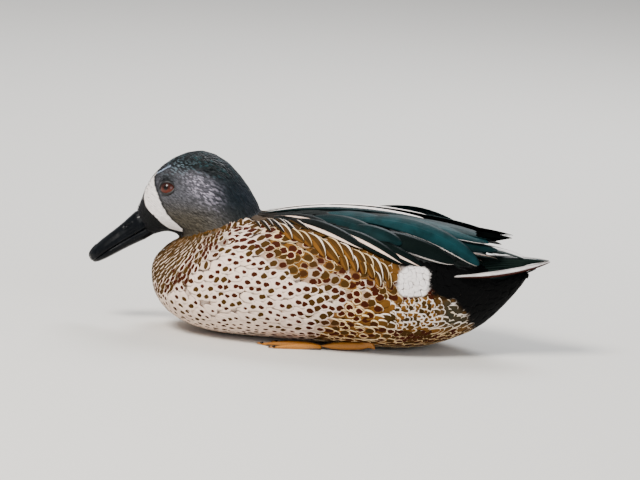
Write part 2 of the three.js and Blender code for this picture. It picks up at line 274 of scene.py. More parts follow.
class Body:
    """The trunk's cross-sections: back line, belly line, half width and widest height, all along it."""

    STEP = 3.0  # from section to section
    LEVELS = 28  # heights at which a section's width is measured
    AVERAGED = 5  # neighbouring sections whose widest heights are averaged
    FRONT = 0.4  # height of the foremost point, as a share of the trunk's
    ROUND_ABOVE = 2.15  # exponent of the section over its widest line, where 2 is an ellipse
    ROUND_BELOW = 2.4

    def __init__(self):
        form = form_of(["trunk", "rump"])
        tree = BVHTree.FromBMesh(form)
        form.free()
        low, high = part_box("trunk")[0] / MM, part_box("rump")[1] / MM
        far = 2 * high.z * MM
        start = tree.find_nearest(Vector((0, low.y * MM, self.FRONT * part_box("trunk")[1].z)))[0].z / MM
        rows = [(low.y, start, start, 0.0, start)]
        for y in np.arange(low.y + 0.6, high.y - 0.4, self.STEP):
            top = tree.ray_cast(Vector((1e-7, y * MM, far)), Vector((0, 0, -1)))[0]
            bottom = tree.ray_cast(Vector((1e-7, y * MM, -far)), Vector((0, 0, 1)))[0]
            if top is None or bottom is None:
                continue
            widest, level = self._widest(tree, y, bottom.z / MM, top.z / MM, far)
            rows.append((y, top.z / MM, bottom.z / MM, widest, level))
        end = (rows[-1][1] + rows[-1][2]) / 2
        rows.append((high.y, end, end, 0.0, end))
        self.y, self.top, self.bottom, self.half, self.level = np.array(rows).T
        inner = self.level[1:-1]
        padded = np.pad(inner, self.AVERAGED // 2, mode="edge")
        self.level[1:-1] = np.convolve(padded, np.ones(self.AVERAGED) / self.AVERAGED, mode="valid")
        run = np.hypot(np.diff(self.y), np.diff(self.half))
        self.reach = np.concatenate([[0], np.cumsum(run)])

    def _widest(self, tree, y, low, high, far):
        """The largest half width at one place aft, and its height."""
        hits = []
        for z in np.linspace(low + 1, high - 1, self.LEVELS):
            hit = tree.ray_cast(Vector((far, y * MM, z * MM)), Vector((-1, 0, 0)))[0]
            hits.append((hit.x / MM if hit else 0.0, z))
        return max(hits)

    def point(self, y, turn):
        """The point of the section at y that lies turn radians round from the back to the left."""
        y, turn = np.broadcast_arrays(np.asarray(y, float), np.asarray(turn, float))
        top, bottom = np.interp(y, self.y, self.top), np.interp(y, self.y, self.bottom)
        half, level = np.interp(y, self.y, self.half), np.interp(y, self.y, self.level)
        up = np.cos(turn)
        power = np.where(up > 0, 2 / self.ROUND_ABOVE, 2 / self.ROUND_BELOW)
        x = half * np.sign(np.sin(turn)) * np.abs(np.sin(turn)) ** power
        rise = np.where(up > 0, top - level, level - bottom) * np.sign(up) * np.abs(up) ** power
        return np.stack([x, y, level + rise], axis=-1)

    def side(self, y, z):
        """The point of the left side at y and z."""
        top, bottom, level = (np.interp(y, self.y, row) for row in (self.top, self.bottom, self.level))
        over = z > level
        share = np.clip(np.where(over, (z - level) / (top - level), (level - z) / (level - bottom)), 0, 1)
        up = share ** (np.where(over, self.ROUND_ABOVE, self.ROUND_BELOW) / 2)
        return self.point(y, np.arccos(np.where(over, up, -up)))

    def unwrap(self, points):
        """Where points lie on the body's skin, unrolled from a cut along the belly, 0 to 1 each way."""
        level = np.interp(points[:, 1], self.y, self.level)
        turn = np.arctan2(points[:, 0], points[:, 2] - level)
        aft = np.interp(points[:, 1], self.y, self.reach) / self.reach[-1]
        return np.stack([turn / (2 * math.pi) + 0.5, aft], axis=-1)


body = Body()
HEAD_MIDDLE = np.array([0.0, -82.0, 86.0])
NECK_LINE = {"y": -88.0, "z": 61.0, "slope": 0.42}  # where the slate of the neck ends and the breast begins


def over_neck_line(points):
    """How far points lie over the slanted line between the neck and the breast."""
    return points[:, 2] - NECK_LINE["z"] - NECK_LINE["slope"] * (points[:, 1] - NECK_LINE["y"])


def unwrap_head(points):
    """Where points lie on the head's skin when it is unrolled round the line from bill to nape."""
    out = points - HEAD_MIDDLE
    turn = np.arctan2(out[:, 0], out[:, 2])
    aft = np.arccos(np.clip(-out[:, 1] / np.linalg.norm(out, axis=1), -1, 1))
    return np.stack([turn / (2 * math.pi) + 0.5, aft / math.pi], axis=-1)


class Surface:
    """A finished skin that feathers are laid on."""

    TRIES = 34  # points tried for each one that the skin could have room for

    def __init__(self, piece):
        mesh = piece.data
        self.co = places_of(mesh)
        mesh.calc_loop_triangles()
        self.faces = np.empty(len(mesh.loop_triangles) * 3, int)
        mesh.loop_triangles.foreach_get("vertices", self.faces)
        self.faces = self.faces.reshape(-1, 3)
        normals = np.empty(len(mesh.vertices) * 3)
        mesh.vertex_normals.foreach_get("vector", normals)
        self.face_normals = unit(normals.reshape(-1, 3)[self.faces].mean(axis=1))
        self.tree = BVHTree.FromPolygons(self.co.tolist(), self.faces.tolist())

    def nearest(self, points):
        """The nearest points of the skin and the way it faces there."""
        found = [self.tree.find_nearest(Vector(p)) for p in points]
        return np.array([f[0] for f in found]), self.face_normals[[f[2] for f in found]]

    def roots(self, spacing, wanted, seed):
        """Points scattered over the skin where wanted, no closer to each other than the spacing there."""
        draw = np.random.default_rng(seed)
        corners = self.co[self.faces]
        middles = corners.mean(axis=1)
        corners = corners[wanted(middles)]
        first, second = corners[:, 1] - corners[:, 0], corners[:, 2] - corners[:, 0]
        area = np.linalg.norm(np.cross(first, second), axis=1) / 2
        gaps = spacing(corners.mean(axis=1))
        share = area / gaps ** 2
        count = int(self.TRIES * share.sum())
        chosen = draw.choice(len(corners), count, p=share / share.sum())
        a, b = np.sqrt(draw.random(count)), draw.random(count)
        weights = np.stack([1 - a, a * (1 - b), a * b], axis=-1)
        points = (corners[chosen] * weights[..., None]).sum(axis=1)
        return points[spread_out(points, gaps[chosen])]


def spread_out(points, gaps):
    """The indices of points that keep their gap from every point kept before them."""
    cell = gaps.max()
    kept, grid = [], {}
    for i, (point, gap) in enumerate(zip(points.tolist(), gaps.tolist())):
        key = tuple(int(c // cell) for c in point)
        near = (
            other
            for dx in (-1, 0, 1) for dy in (-1, 0, 1) for dz in (-1, 0, 1)
            for other in grid.get((key[0] + dx, key[1] + dy, key[2] + dz), ())
        )
        if all(math.dist(point, other) >= gap for other in near):
            grid.setdefault(key, []).append(point)
            kept.append(i)
    return kept


# ---- Plumage: what colour and size a feather is, by where it grows ----

# Lines in the side view, as (aft, up) pairs.
WING_EDGE = [(-46, 84), (-30, 83), (-17.5, 81.5), (-3, 79.5), (8.5, 76.7), (21.5, 73.3), (33.5, 70),
             (46, 65.9), (58, 60.9), (72, 60.1), (84, 60.3), (96.5, 57.3), (110, 60), (140, 70)]
BREAST_TOP = [(-110, 44), (-98.5, 50.7), (-88.5, 56), (-75.5, 61.7), (-65.5, 65.4), (-50, 71)]
SHOULDER = [(-60, 71), (-45, 72), (-34, 70.5), (-22, 68.5), (-9.5, 67)]
SCALLOPS = [(-20, 73), (-14, 69.4), (0, 65.9), (13.5, 63.1), (27.5, 57.1), (41, 51.8), (59.5, 45.1), (70, 44)]
# Lines in the side view, as (up, aft) pairs.
BREAST_EDGE = [(0, -104), (20, -101), (29.8, -94.5), (35.3, -86), (43.1, -78.5), (49.9, -72.5), (60.3, -66),
               (66.4, -60.5), (72, -56)]
CRESCENT_FRONT = [(64.4, -91), (64.8, -94), (65.3, -97.8), (68.8, -102.6), (73.1, -107.6), (75.7, -111.4),
                  (79.1, -114.4), (83.4, -116.1), (88.5, -116), (93, -114.6), (98.9, -111.5),
                  (100.5, -108.8), (103, -105.6)]
CRESCENT_BACK = [(64.4, -89), (66.4, -88.2), (67.8, -90.3), (71.5, -95.3), (75.9, -99.5), (81.1, -103.1),
                 (84.1, -104.5), (88.4, -107), (92.6, -109.1), (95.9, -110.5), (98, -110.5),
                 (100.2, -108.7), (103.7, -104)]
STERN_EDGE = [(20, 105), (30.4, 100), (39.1, 92), (43, 82), (47, 77), (52, 75), (62, 74)]
# Places in the side view, as (aft, up) pairs.
PALE_PATCHES = ((7, 55), (15.5, 46), (26.5, 54.6), (36.5, 47.6), (24, 38), (40, 40))  # among the golden ones
WHITE_PATCH = {"middle": (68.2, 51), "half": (9.6, 9.2), "round": 5.4}
EYE_OPENING = (10.4, 7.8)  # width and height of the bare rims round the eye
NO_SPOT = (0.01, 0.01, 4.0, 0.0, 0.0)  # off the end of the feather
NO_FRINGE = -1.0
NO_SIDE = 9.0  # takes the fringe off one side of any feather


def palette():
    """The colour settings as arrays, each under its own name."""
    colours = bpy.context.scene.teal_colours
    return SimpleNamespace(**{name: np.array(getattr(colours, name)) for name in TealColours.__annotations__})


def look_of(ground, mark, edge, spot, fringe, bare=(0.0, 0.0, 0.0)):
    """How feathers look: three colours, then the spot's half length and half width, its place along the
    feather, its tilt and its pale ring, then the fringe, and how much less of it the lower side, the upper
    side and the tip have. Lengths are in millimetres."""
    count = len(ground)
    half_long, half_wide, place, tilt, ring = (np.broadcast_to(part, count) for part in spot)
    return {
        "ground": ground, "mark": mark, "edge": edge,
        "spot": np.stack([half_long, half_wide, place], axis=-1),
        "ring": np.stack([np.cos(tilt), np.sin(tilt), ring], axis=-1),
        "bare": np.stack([np.broadcast_to(part, count) for part in bare], axis=-1),
        "fringe": np.broadcast_to(fringe, count),
    }


def head_plumage(points, cloud, chance):
    """The look of the head's feathers."""
    tone = palette()
    x, y, z = points.T
    y = y + 0.3 * cloud
    back = ease(-84, -54, y + 0.25 * (z - 90))
    ground = layered(tone.slate, (tone.nape, back), (tone.slate_low, ease(90, 72, z) * (1 - 0.75 * back)))
    ground = ground * (1 + 0.45 * chance * (1 - 0.5 * back))[:, None]
    # Painted sheen: a slanting band over the cheek where the light's highlight is painted in the gloss
    # colour, brighter on some feathers at random
    along, across = 0.73 * (y + 77) - 0.68 * (z - 95), 0.68 * (y + 77) + 0.73 * (z - 95)
    sheen = np.exp(-(along / 13) ** 2 - (across / 6) ** 2)
    crown_line = 104 - 12 * ease(-106, -118, y) - 5 * ease(-80, -55, y)
    brow = np.exp(-(((y + 101) / 7) ** 2 + ((z - 98.5) / 3.2) ** 2))
    # Painted glints: pale flecks of the sheen colour on some feathers at the front of the crown
    fleck = np.exp(-((y + 95) / 11) ** 2 - ((z - 107) / 5) ** 2) * ease(0.35, 0.8, chance)
    green = ease(0.4, 0.9, chance) * ease(98, 106, z)
    behind = along_line(CRESCENT_BACK, z)
    white = (y > along_line(CRESCENT_FRONT, z)) & (y < behind) & (z > 64.4) & (z < 100.4) & (np.abs(x) > 3.6)
    # Painted highlight: a thin line of bluish sheen colour over the eye, from the crescent's top
    hook = (np.abs(z - 100.2 - 0.69 * (y + 108.7)) < 0.4) & (y > -109) & (y < -100)
    ground = layered(
        ground,
        # painted sheen on the cheek
        (tone.gloss, sheen * (0.10 + 0.95 * ease(0.05, 0.7, chance))),
        (tone.crown, ease(crown_line - 4, crown_line + 5, z + 0.8 * cloud)),
        (tone.crown, 0.8 * brow),
        # painted glints on the crown
        (tone.gloss * (0.75, 1.0, 0.95), 0.6 * fleck),
        (tone.teal, 0.6 * green),
        (tone.face, 0.8 * ease(2.6, 0.8, y - behind) * ease(104, 98, z)),
        (tone.face, ease(0.4, -0.4, y - behind)),
        (tone.white, white),
        # painted highlight over the eye
        (tone.gloss * (0.8, 1.1, 1.2), 0.75 * hook),
    )
    return look_of(ground, ground * 0.8, ground, NO_SPOT, NO_FRINGE)


def body_plumage(points, cloud, chance):
    """The look of the feathers of the breast, flanks, belly and stern."""
    tone = palette()
    _, y, z = points.T
    soft = 3.5 * cloud

    # Zones, from 0 to 1.
    to_edge = y - along_line(BREAST_EDGE, z) + soft
    breast = ease(2, -4, to_edge)
    plain = ease(3, -3, to_edge) * ease(-5, 2, z - along_line(BREAST_TOP, y) + 0.5 * soft)
    upright = ease(-9, -5, to_edge) * ease(9, 5, to_edge) * ease(20, 30, z) * (1 - plain)
    shoulder = ease(-50, -38, y) * ease(2, -8, y) * ease(-2, 3, z - along_line(SHOULDER, y) + 0.5 * soft)
    under = along_line(SCALLOPS, y) - z
    scallop = ease(4, -3, under + 0.6 * soft) * ease(-16, -6, y)
    band = ease(21, 14, under + 0.8 * soft) * ease(-36, -22, y)
    rear = ease(30, 41, y + 0.9 * (44 - z) + soft)
    golden = np.maximum(band, rear)
    for aft, up in PALE_PATCHES:
        golden = golden * (1 - 0.7 * ease(5.5, 2.5, np.hypot(y - aft, z - up)))
    hooks = rear * ease(46, 40, z + soft) * ease(58, 50, y)
    low_front = ease(40, 26, z + 0.15 * (y + 60)) * ease(10, -40, y)
    long_spots = ease(56, 64, z) * ease(-14, -34, y)
    mottled = ease(42, 38, z + 0.6 * soft) * ease(14, 24, z) * ease(45, 52, y)
    hind = ease(-52, -42, y) * ease(74, 77, z)  # behind the neck, before the mantle
    saddle = ease(-34, -22, y) * ease(76.0, 78.5, z)  # under the long shoulder feathers
    dusk = np.clip(scallop + hind, 0, 1)

    # Colours.
    bronze = mix(tone.gold, tone.olive, 0.45 * ease(-0.3, 0.9, chance))
    dark_bronze = mix(tone.brown, tone.gold, 0.2 - 0.1 * plain + 0.2 * chance)
    ground = layered(
        tone.pale,
        (bronze, golden),
        (mix(tone.brown, tone.gold, 0.6 + 0.3 * cloud), dusk),
        (mix(tone.pale, tone.cream, 0.5), 0.8 * shoulder * (1 - dusk)),
        (tone.mantle, 0.95 * hind),
        (dark_bronze, breast),
        (mix(dark_bronze, tone.pale, ease(-0.7, 0.3, cloud)), upright),
        (tone.gold * 1.25, hooks * ease(0.0, 0.6, chance)),
    )
    golden = golden * (1 - dusk)
    mark = layered(
        tone.spot,
        (tone.olive, ease(0.1, 0.5, chance)),
        (tone.rust, ease(-0.35, -0.7, chance) * (1 - upright)),
        (tone.brown, breast * (1 - upright)),
    )
    edge = layered(
        tone.pale,
        (tone.cream, np.clip(golden + 0.4 * dusk + 0.2 * breast, 0, 1)),
        (tone.brown, hind * ease(0.6, 0.0, chance)),
        (mix(tone.brown, tone.gold, 0.25 + 0.35 * chance), 0.9 * plain),
    )

    # Spots and fringes.
    bars = (breast > 0.5) & (upright < 0.5)
    tall = upright >= 0.5
    middle = (1 - golden) * (1 - dusk) * ease(-12, 4, y)
    bold = ease(55, 61, z) * ease(-54, -44, y) * ease(-6, -16, y)
    large = np.maximum(golden, np.maximum(shoulder, scallop))
    half_long = 2.1 + 0.45 * chance + 0.6 * large + 1.3 * long_spots - 0.45 * low_front
    half_long = half_long + 0.6 * middle + 0.3 * bold
    half_wide = 1.6 + 0.25 * chance + 0.6 * large + 0.2 * long_spots - 0.35 * low_front
    half_wide = half_wide + 0.45 * middle + 0.6 * bold
    half_long = np.where(bars, 0.9, np.where(tall, 1.35 + 0.3 * chance, half_long))
    half_wide = np.where(bars, 3.2, np.where(tall, 2.7 + 0.6 * chance, half_wide))
    tilt = np.where(bars | tall, 0.0, 0.35 + 0.45 * chance)
    place = np.where(bars, 0.78, np.where(tall, 0.72, 0.74 - 0.03 * golden))
    spotless = (under < -5) & (y > -12) | (hind > 0.6) | (z < 3) | (mottled > 0.5) | (plain > 0.6)
    place = np.where(spotless, NO_SPOT[2], place)
    ringed = ease(0.2, 0.7, -chance)
    ring = np.where(bars | tall | spotless, 0.0, (0.8 * ringed - 0.15) * golden)
    fringe = layered(
        NO_FRINGE + (1.55 + 0.4 * cloud) * golden,
        (0.7 + 0.25 * chance, dusk),
        (0.35 + 0.4 * chance, hind),
        (1.0 + 0.35 * chance, np.maximum(mottled, hooks * 0.9)),
    )
    fringe = np.where(bars, 0.95 - 0.5 * plain + 0.15 * chance, fringe)
    fringe = np.where(tall, 0.6 + 0.3 * chance, fringe)
    side = (np.maximum(np.maximum(scallop, hooks), hind) > 0.5) | ((mottled > 0.5) & (cloud > -0.2))
    low, high = side | bars | tall, (bars | tall) & ~side
    bare = (np.where(low, NO_SIDE, 0.0), np.where(high, NO_SIDE, 0.0), np.where(side, 0.4, 0.0))

    # The white patch, the black stern and the grey between them.
    beyond = [
        np.clip(np.abs(value - middle_at) - half + WHITE_PATCH["round"], 0, None)
        for value, middle_at, half in zip((y, z), WHITE_PATCH["middle"], WHITE_PATCH["half"])
    ]
    patch = ease(0.5, -0.5, np.hypot(*beyond) - WHITE_PATCH["round"] + 0.5 * cloud)
    dark = ease(-2.5, 2, y - along_line(STERN_EDGE, z) + 0.6 * soft)
    dark = np.maximum(dark, ease(54, 60, y) * ease(58.5, 60.0, z))
    grey = mottled * ease(82, 90, y) * ease(2, -1, y - along_line(STERN_EDGE, z))
    flecked = mix(tone.brown, tone.gold, ease(-0.8, 0.4, chance))
    ground = layered(ground, (tone.rump * 2.0, 0.8 * grey), (flecked, mottled * (1 - grey)))
    edge = mix(edge, mix(tone.white, tone.cream, 0.4 + 0.4 * cloud), 0.9 * mottled)
    colours = (
        layered(colour, (tone.green_black, saddle), (tone.stern, dark), (tone.white, patch))
        for colour in (ground, mark, edge)
    )
    return look_of(*colours, (half_long, half_wide, place, tilt, ring), fringe, bare)


def back_plumage(points, cloud, chance):
    """The look of the small feathers of the mantle and back."""
    tone = palette()
    _, y, z = points.T
    mantle = ease(6, -8, y + 3 * cloud)
    ground = layered(
        tone.green_black,
        (tone.mantle, mantle),
        (tone.brown, 0.5 * mantle * ease(-34, -44, y) * ease(-0.2, 0.6, cloud)),
        (tone.rump, ease(74, 90, y)),
    )
    edge = mix(ground * 1.5, mix(tone.white, tone.cream, 0.3 + 0.3 * cloud), mantle)
    fringe = np.where(mantle > 0.5, 0.2 + 0.6 * chance, 0.1)
    return look_of(ground, ground * 0.7, edge, NO_SPOT, fringe, bare=(NO_SIDE, 0.0, NO_SIDE))


def in_head(points):
    return over_neck_line(points) > 0


def in_back(points):
    return ~in_head(points) & (points[:, 2] > along_line(WING_EDGE, points[:, 1])) & (points[:, 1] < 108)


def in_stern(points):
    return ~in_head(points) & ~in_back(points) & (points[:, 1] > 84)


def in_flanks(points):
    return ~in_head(points) & ~in_back(points) & ~in_stern(points)


def skin_colours(points, cloud):
    """The ground colour of the plumage anywhere on the bird."""
    colours = body_plumage(points, cloud, cloud)["ground"]
    for inside, of_part in ((in_head(points), head_plumage), (in_back(points), back_plumage)):
        colours[inside] = of_part(points[inside], cloud[inside], cloud[inside])["ground"]
    return colours


def lie(points):
    """Which way feathers point, before they are laid along the skin."""
    x, y, z = points.T
    side = np.sign(x) * ease(2, 12, np.abs(x))
    below = along_line(WING_EDGE, y) - z
    upper_flank = ease(27, 12, below) * ease(-34, -4, y) * ease(92, 76, y)
    breast = ease(-66, -98, y)
    stern = ease(84, 120, y)
    down = 0.10 + (0.75 + 0.5 * ease(10, 50, y)) * upper_flank + 0.9 * breast - 0.6 * stern
    out = side * (0.15 * ease(80, 86, z) + 0.45 * breast - 0.3 * stern)
    towards = np.stack([out, np.ones(len(y)), -down], axis=-1)
    head = np.stack([np.zeros(len(y)), np.ones(len(y)), np.full(len(y), -0.5)], axis=-1)
    head[:, 2] -= 0.8 * ease(-70, -52, y)
    return unit(mix(towards, head, ease(-4, 4, over_neck_line(points))))


# ---- Vanes: small closed blades, joined from arrays into one mesh ----


class Vane:
    """One feather's shape as rings along it, made from a ball of a few faces."""

    ROOT = 0.35  # width at the root, as a share of the full width
    FULL_FROM = 0.45  # where along it the full width begins
    LOWEST = 0.1  # height over the floor under which no point lies

    def __init__(self, around, steps, tip=0.42, arch=0.16, crowd=1.0):
        ball = bmesh.new()
        bmesh.ops.create_uvsphere(ball, u_segments=around, v_segments=steps, radius=1.0)
        ball.verts.ensure_lookup_table()
        co = np.array([v.co for v in ball.verts])
        self.faces = [[v.index for v in f.verts] for f in ball.faces]
        ball.free()
        self.ring = np.rint(np.arccos(np.clip(-co[:, 2], -1, 1)) / math.pi * steps).astype(int)
        pole = (self.ring == 0) | (self.ring == steps)
        turn = np.arctan2(co[:, 1], co[:, 0])
        self.across = np.where(pole, 0.0, np.cos(turn))
        self.up = np.where(pole, 0.0, np.sin(turn))
        part = np.arange(steps + 1) / steps
        self.along = 1 - (1 - part) ** (1 + crowd)
        base = self.ROOT + (1 - self.ROOT) * ease(0, self.FULL_FROM, self.along)
        end = np.sqrt(np.clip(1 - (np.clip(self.along - (1 - tip), 0, 1) / tip) ** 2, 0, 1))
        self.width = base * end
        self.thick = np.sin(part * math.pi) ** 0.4
        self.arch = arch

    def mesh(self, name, spines, normals, lifts, widths, thickness, roll=0.0):
        """Blades along spines of ring points, as one mesh. widths are whole, and one for each blade.

        roll is how steeply each one rises towards its upper edge."""
        ahead = unit(np.gradient(spines, axis=1))
        sides = unit(np.cross(normals, ahead))
        half = widths[:, None] / 2
        across = half * (self.across * self.width[self.ring])
        arch = self.arch * half * (1 - self.across ** 2) * self.width[self.ring]
        tilt = np.broadcast_to(roll, len(spines))[:, None] * across
        height = lifts[:, self.ring] + arch + tilt + thickness / 2 * self.up * self.thick[self.ring]
        points = spines[:, self.ring] + sides[:, self.ring] * across[..., None]
        points = points + normals[:, self.ring] * height[..., None]
        points[..., 2] = np.maximum(points[..., 2], self.LOWEST)
        return joined_mesh(name, points, self.faces)

    def uv(self):
        return np.stack([self.across / 2 + 0.5, self.along[self.ring]], axis=-1)


def joined_mesh(name, points, faces):
    """Many copies of one small mesh, each with its own points, as one mesh."""
    copies, count = points.shape[:2]
    corners = np.concatenate([np.array(f) for f in faces])
    sizes = np.array([len(f) for f in faces])
    loops = (corners[None, :] + np.arange(copies)[:, None] * count).ravel()
    starts = np.concatenate([[0], np.cumsum(np.tile(sizes, copies))[:-1]])
    mesh = bpy.data.meshes.new(name)
    mesh.vertices.add(copies * count)
    mesh.vertices.foreach_set("co", (points * MM).astype(np.float32).ravel())
    mesh.loops.add(len(loops))
    mesh.loops.foreach_set("vertex_index", loops.astype(np.int32))
    mesh.polygons.add(len(starts))
    mesh.polygons.foreach_set("loop_start", starts.astype(np.int32))
    mesh.update(calc_edges=True)
    mesh.validate()
    mesh.polygons.foreach_set("use_smooth", np.ones(len(starts), bool))
    return mesh


def paint(mesh, name, colours):
    """Keeps one colour for each vertex as an attribute of that name."""
    layer = mesh.attributes.get(name) or mesh.attributes.new(name, "FLOAT_COLOR", "POINT")
    rgba = np.ones((len(mesh.vertices), 4), np.float32)
    rgba[:, :3] = colours
    layer.data.foreach_set("color", rgba.ravel())


def lay_map(mesh, name, places):
    """A UV map of that name from one place for each vertex."""
    layer = mesh.uv_layers.new(name=name)
    corners = np.empty(len(mesh.loops), int)
    mesh.loops.foreach_get("vertex_index", corners)
    layer.data.foreach_set("uv", places[corners].astype(np.float32).ravel())


BAKE_PATCH = 3 / 1024  # each feather's own place on the map, as a share of its side
BAKE_GRID = 1024


def spines_over(surface, roots, lengths, vane, turn):
    """Lines of ring points that start at the roots and follow the lie of the plumage over the skin."""
    at, normal = surface.nearest(roots)
    spines, normals = [at], [normal]
    for step in np.diff(vane.along):
        flow = lie(at)
        flow = unit(flow - normal * (flow * normal).sum(axis=1, keepdims=True))
        flow = unit(flow + np.cross(normal, flow) * np.tan(turn)[:, None])
        at, normal = surface.nearest(at + flow * (lengths * step)[:, None])
        spines.append(at)
        normals.append(normal)
    return np.stack(spines, axis=1), np.stack(normals, axis=1)


SHOWN = 0.72  # where along a feather its visible part has its middle
COLOUR_KEYS = ("ground", "mark", "edge")


def coat(name, surface, roots, look, lengths, widths, depth, vane, unwrap, seed, thickness, crisp):
    """A piece of plumage: one vane at each root, laid along the skin.

    depth gives how far tips stand over the skin at each place. Each vane's look is that of the place
    where its visible part lies. crisp gives the share by which its colours are those of every place on it
    instead."""
    draw = np.random.default_rng(seed)
    count = len(roots)
    lengths = lengths * draw.uniform(0.9, 1.1, count)
    widths = widths * draw.uniform(0.92, 1.08, count)
    spines, normals = spines_over(surface, roots, lengths, vane, draw.normal(0, 0.10, count))
    lifts = draw.uniform(0.92, 1.0, count)[:, None] * depth(spines) * (0.12 + 0.85 * vane.along ** 0.2)
    left = roots[:, 0] > 0
    mesh = vane.mesh(name, spines, normals, lifts, widths, thickness)
    shown = spines[:, np.argmin(np.abs(vane.along - SHOWN))]
    cloud, chance = np.clip(wobble(shown, 3.0, seed), -1, 1), draw.uniform(-1, 1, count)
    looks = look(shown, cloud, chance)
    looks["span"] = np.stack([lengths, widths, looks.pop("fringe")], axis=-1)
    for key, values in looks.items():
        paint(mesh, key, np.repeat(values, len(vane.ring), axis=0))
    places = places_of(mesh)
    shown, cloud, chance = (np.repeat(part, len(vane.ring), axis=0) for part in (shown, cloud, chance))
    looks = look(shown + (places - shown) * crisp(places)[:, None], cloud, chance)
    for key in COLOUR_KEYS:
        paint(mesh, key, looks[key])
    uv = vane.uv()
    local = np.tile(uv, (count, 1, 1))
    local[~left, :, 0] = 1 - local[~left, :, 0]
    lay_map(mesh, "vane", local.reshape(-1, 2))
    corner = np.floor(np.clip(unwrap(roots), 0, 0.995) * BAKE_GRID) / BAKE_GRID
    lay_map(mesh, "OFBake", (corner[:, None, :] + uv[None] * BAKE_PATCH).reshape(-1, 2))
    return put_in_scene(name, mesh)


def place_on_bird(piece, material, slot, *nodes):
    """Puts a piece on the bird's body with its finish, in the stead of the named solids."""
    piece.data.materials.append(material)
    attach(piece, "root")
    if nodes:
        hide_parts(*nodes)
    return piece


# ---- Materials ----


# Kinds of node that are used often, each with what it is set to.
TIMES, PLUS, MINUS, OVER, TIMES_PLUS, SMALLER, LARGER, SINE, SIZE = (
    ("Math", {"operation": work})
    for work in ("MULTIPLY", "ADD", "SUBTRACT", "DIVIDE", "MULTIPLY_ADD",
                 "MINIMUM", "MAXIMUM", "SINE", "ABSOLUTE")
)
BLEND = ("Mix", {"data_type": "RGBA", "out": 2})
RISE = ("MapRange", {"interpolation_type": "SMOOTHSTEP"})
EYE_MAP = 12.0  # millimetres across the eye's own map
LONG_BARBS = 75  # barbs drawn along a long feather, fewer than the real ones so that they show


def new_material(name):
    """A material, its shader, and the function that adds its nodes."""
    material = bpy.data.materials.new(name)
    material.use_nodes = True
    return material, material.node_tree.nodes["Principled BSDF"], functools.partial(add, material.node_tree)


def feed(node, inputs):
    """Gives a node's inputs, by place or by name, their numbers, colours or links."""
    for key, value in inputs.items():
        socket = node.inputs[key]
        if isinstance(value, bpy.types.NodeSocket):
            node.id_data.links.new(value, socket)
        else:
            socket.default_value = (*value, 1.0) if socket.type == "RGBA" else value


def add(tree, kind, *inputs, **settings):
    """Adds a node with its settings and inputs, in order or as one dictionary, and gives its output out."""
    kind, usual = kind if isinstance(kind, tuple) else (kind, {})
    settings = {"out": 0, **usual, **settings}
    out = settings.pop("out")
    node = tree.nodes.new("ShaderNode" + kind)
    for key, value in settings.items():
        setattr(node, key, value)
    feed(node, inputs[0] if inputs and isinstance(inputs[0], dict) else dict(enumerate(inputs)))
    return node.outputs[out]


def grain(where, size, detail=2.0):
    """What a noise texture is fed for flecks of a size in millimetres."""
    return {"Vector": where, "Scale": 1 / (size * MM), "Detail": detail}


def own_look(node, *keys):
    """A place across and along the vane, the feather's three colours and the numbers kept under the keys."""
    across, along, _ = node("SeparateXYZ", node("UVMap", uv_map="vane"), out=slice(3))
    colours = [node("Attribute", attribute_name=key) for key in COLOUR_KEYS]
    kept = [node("Attribute", attribute_name=key, out="Vector") for key in keys]
    return across, along, *colours, *(axis for key in kept for axis in node("SeparateXYZ", key, out=slice(3)))


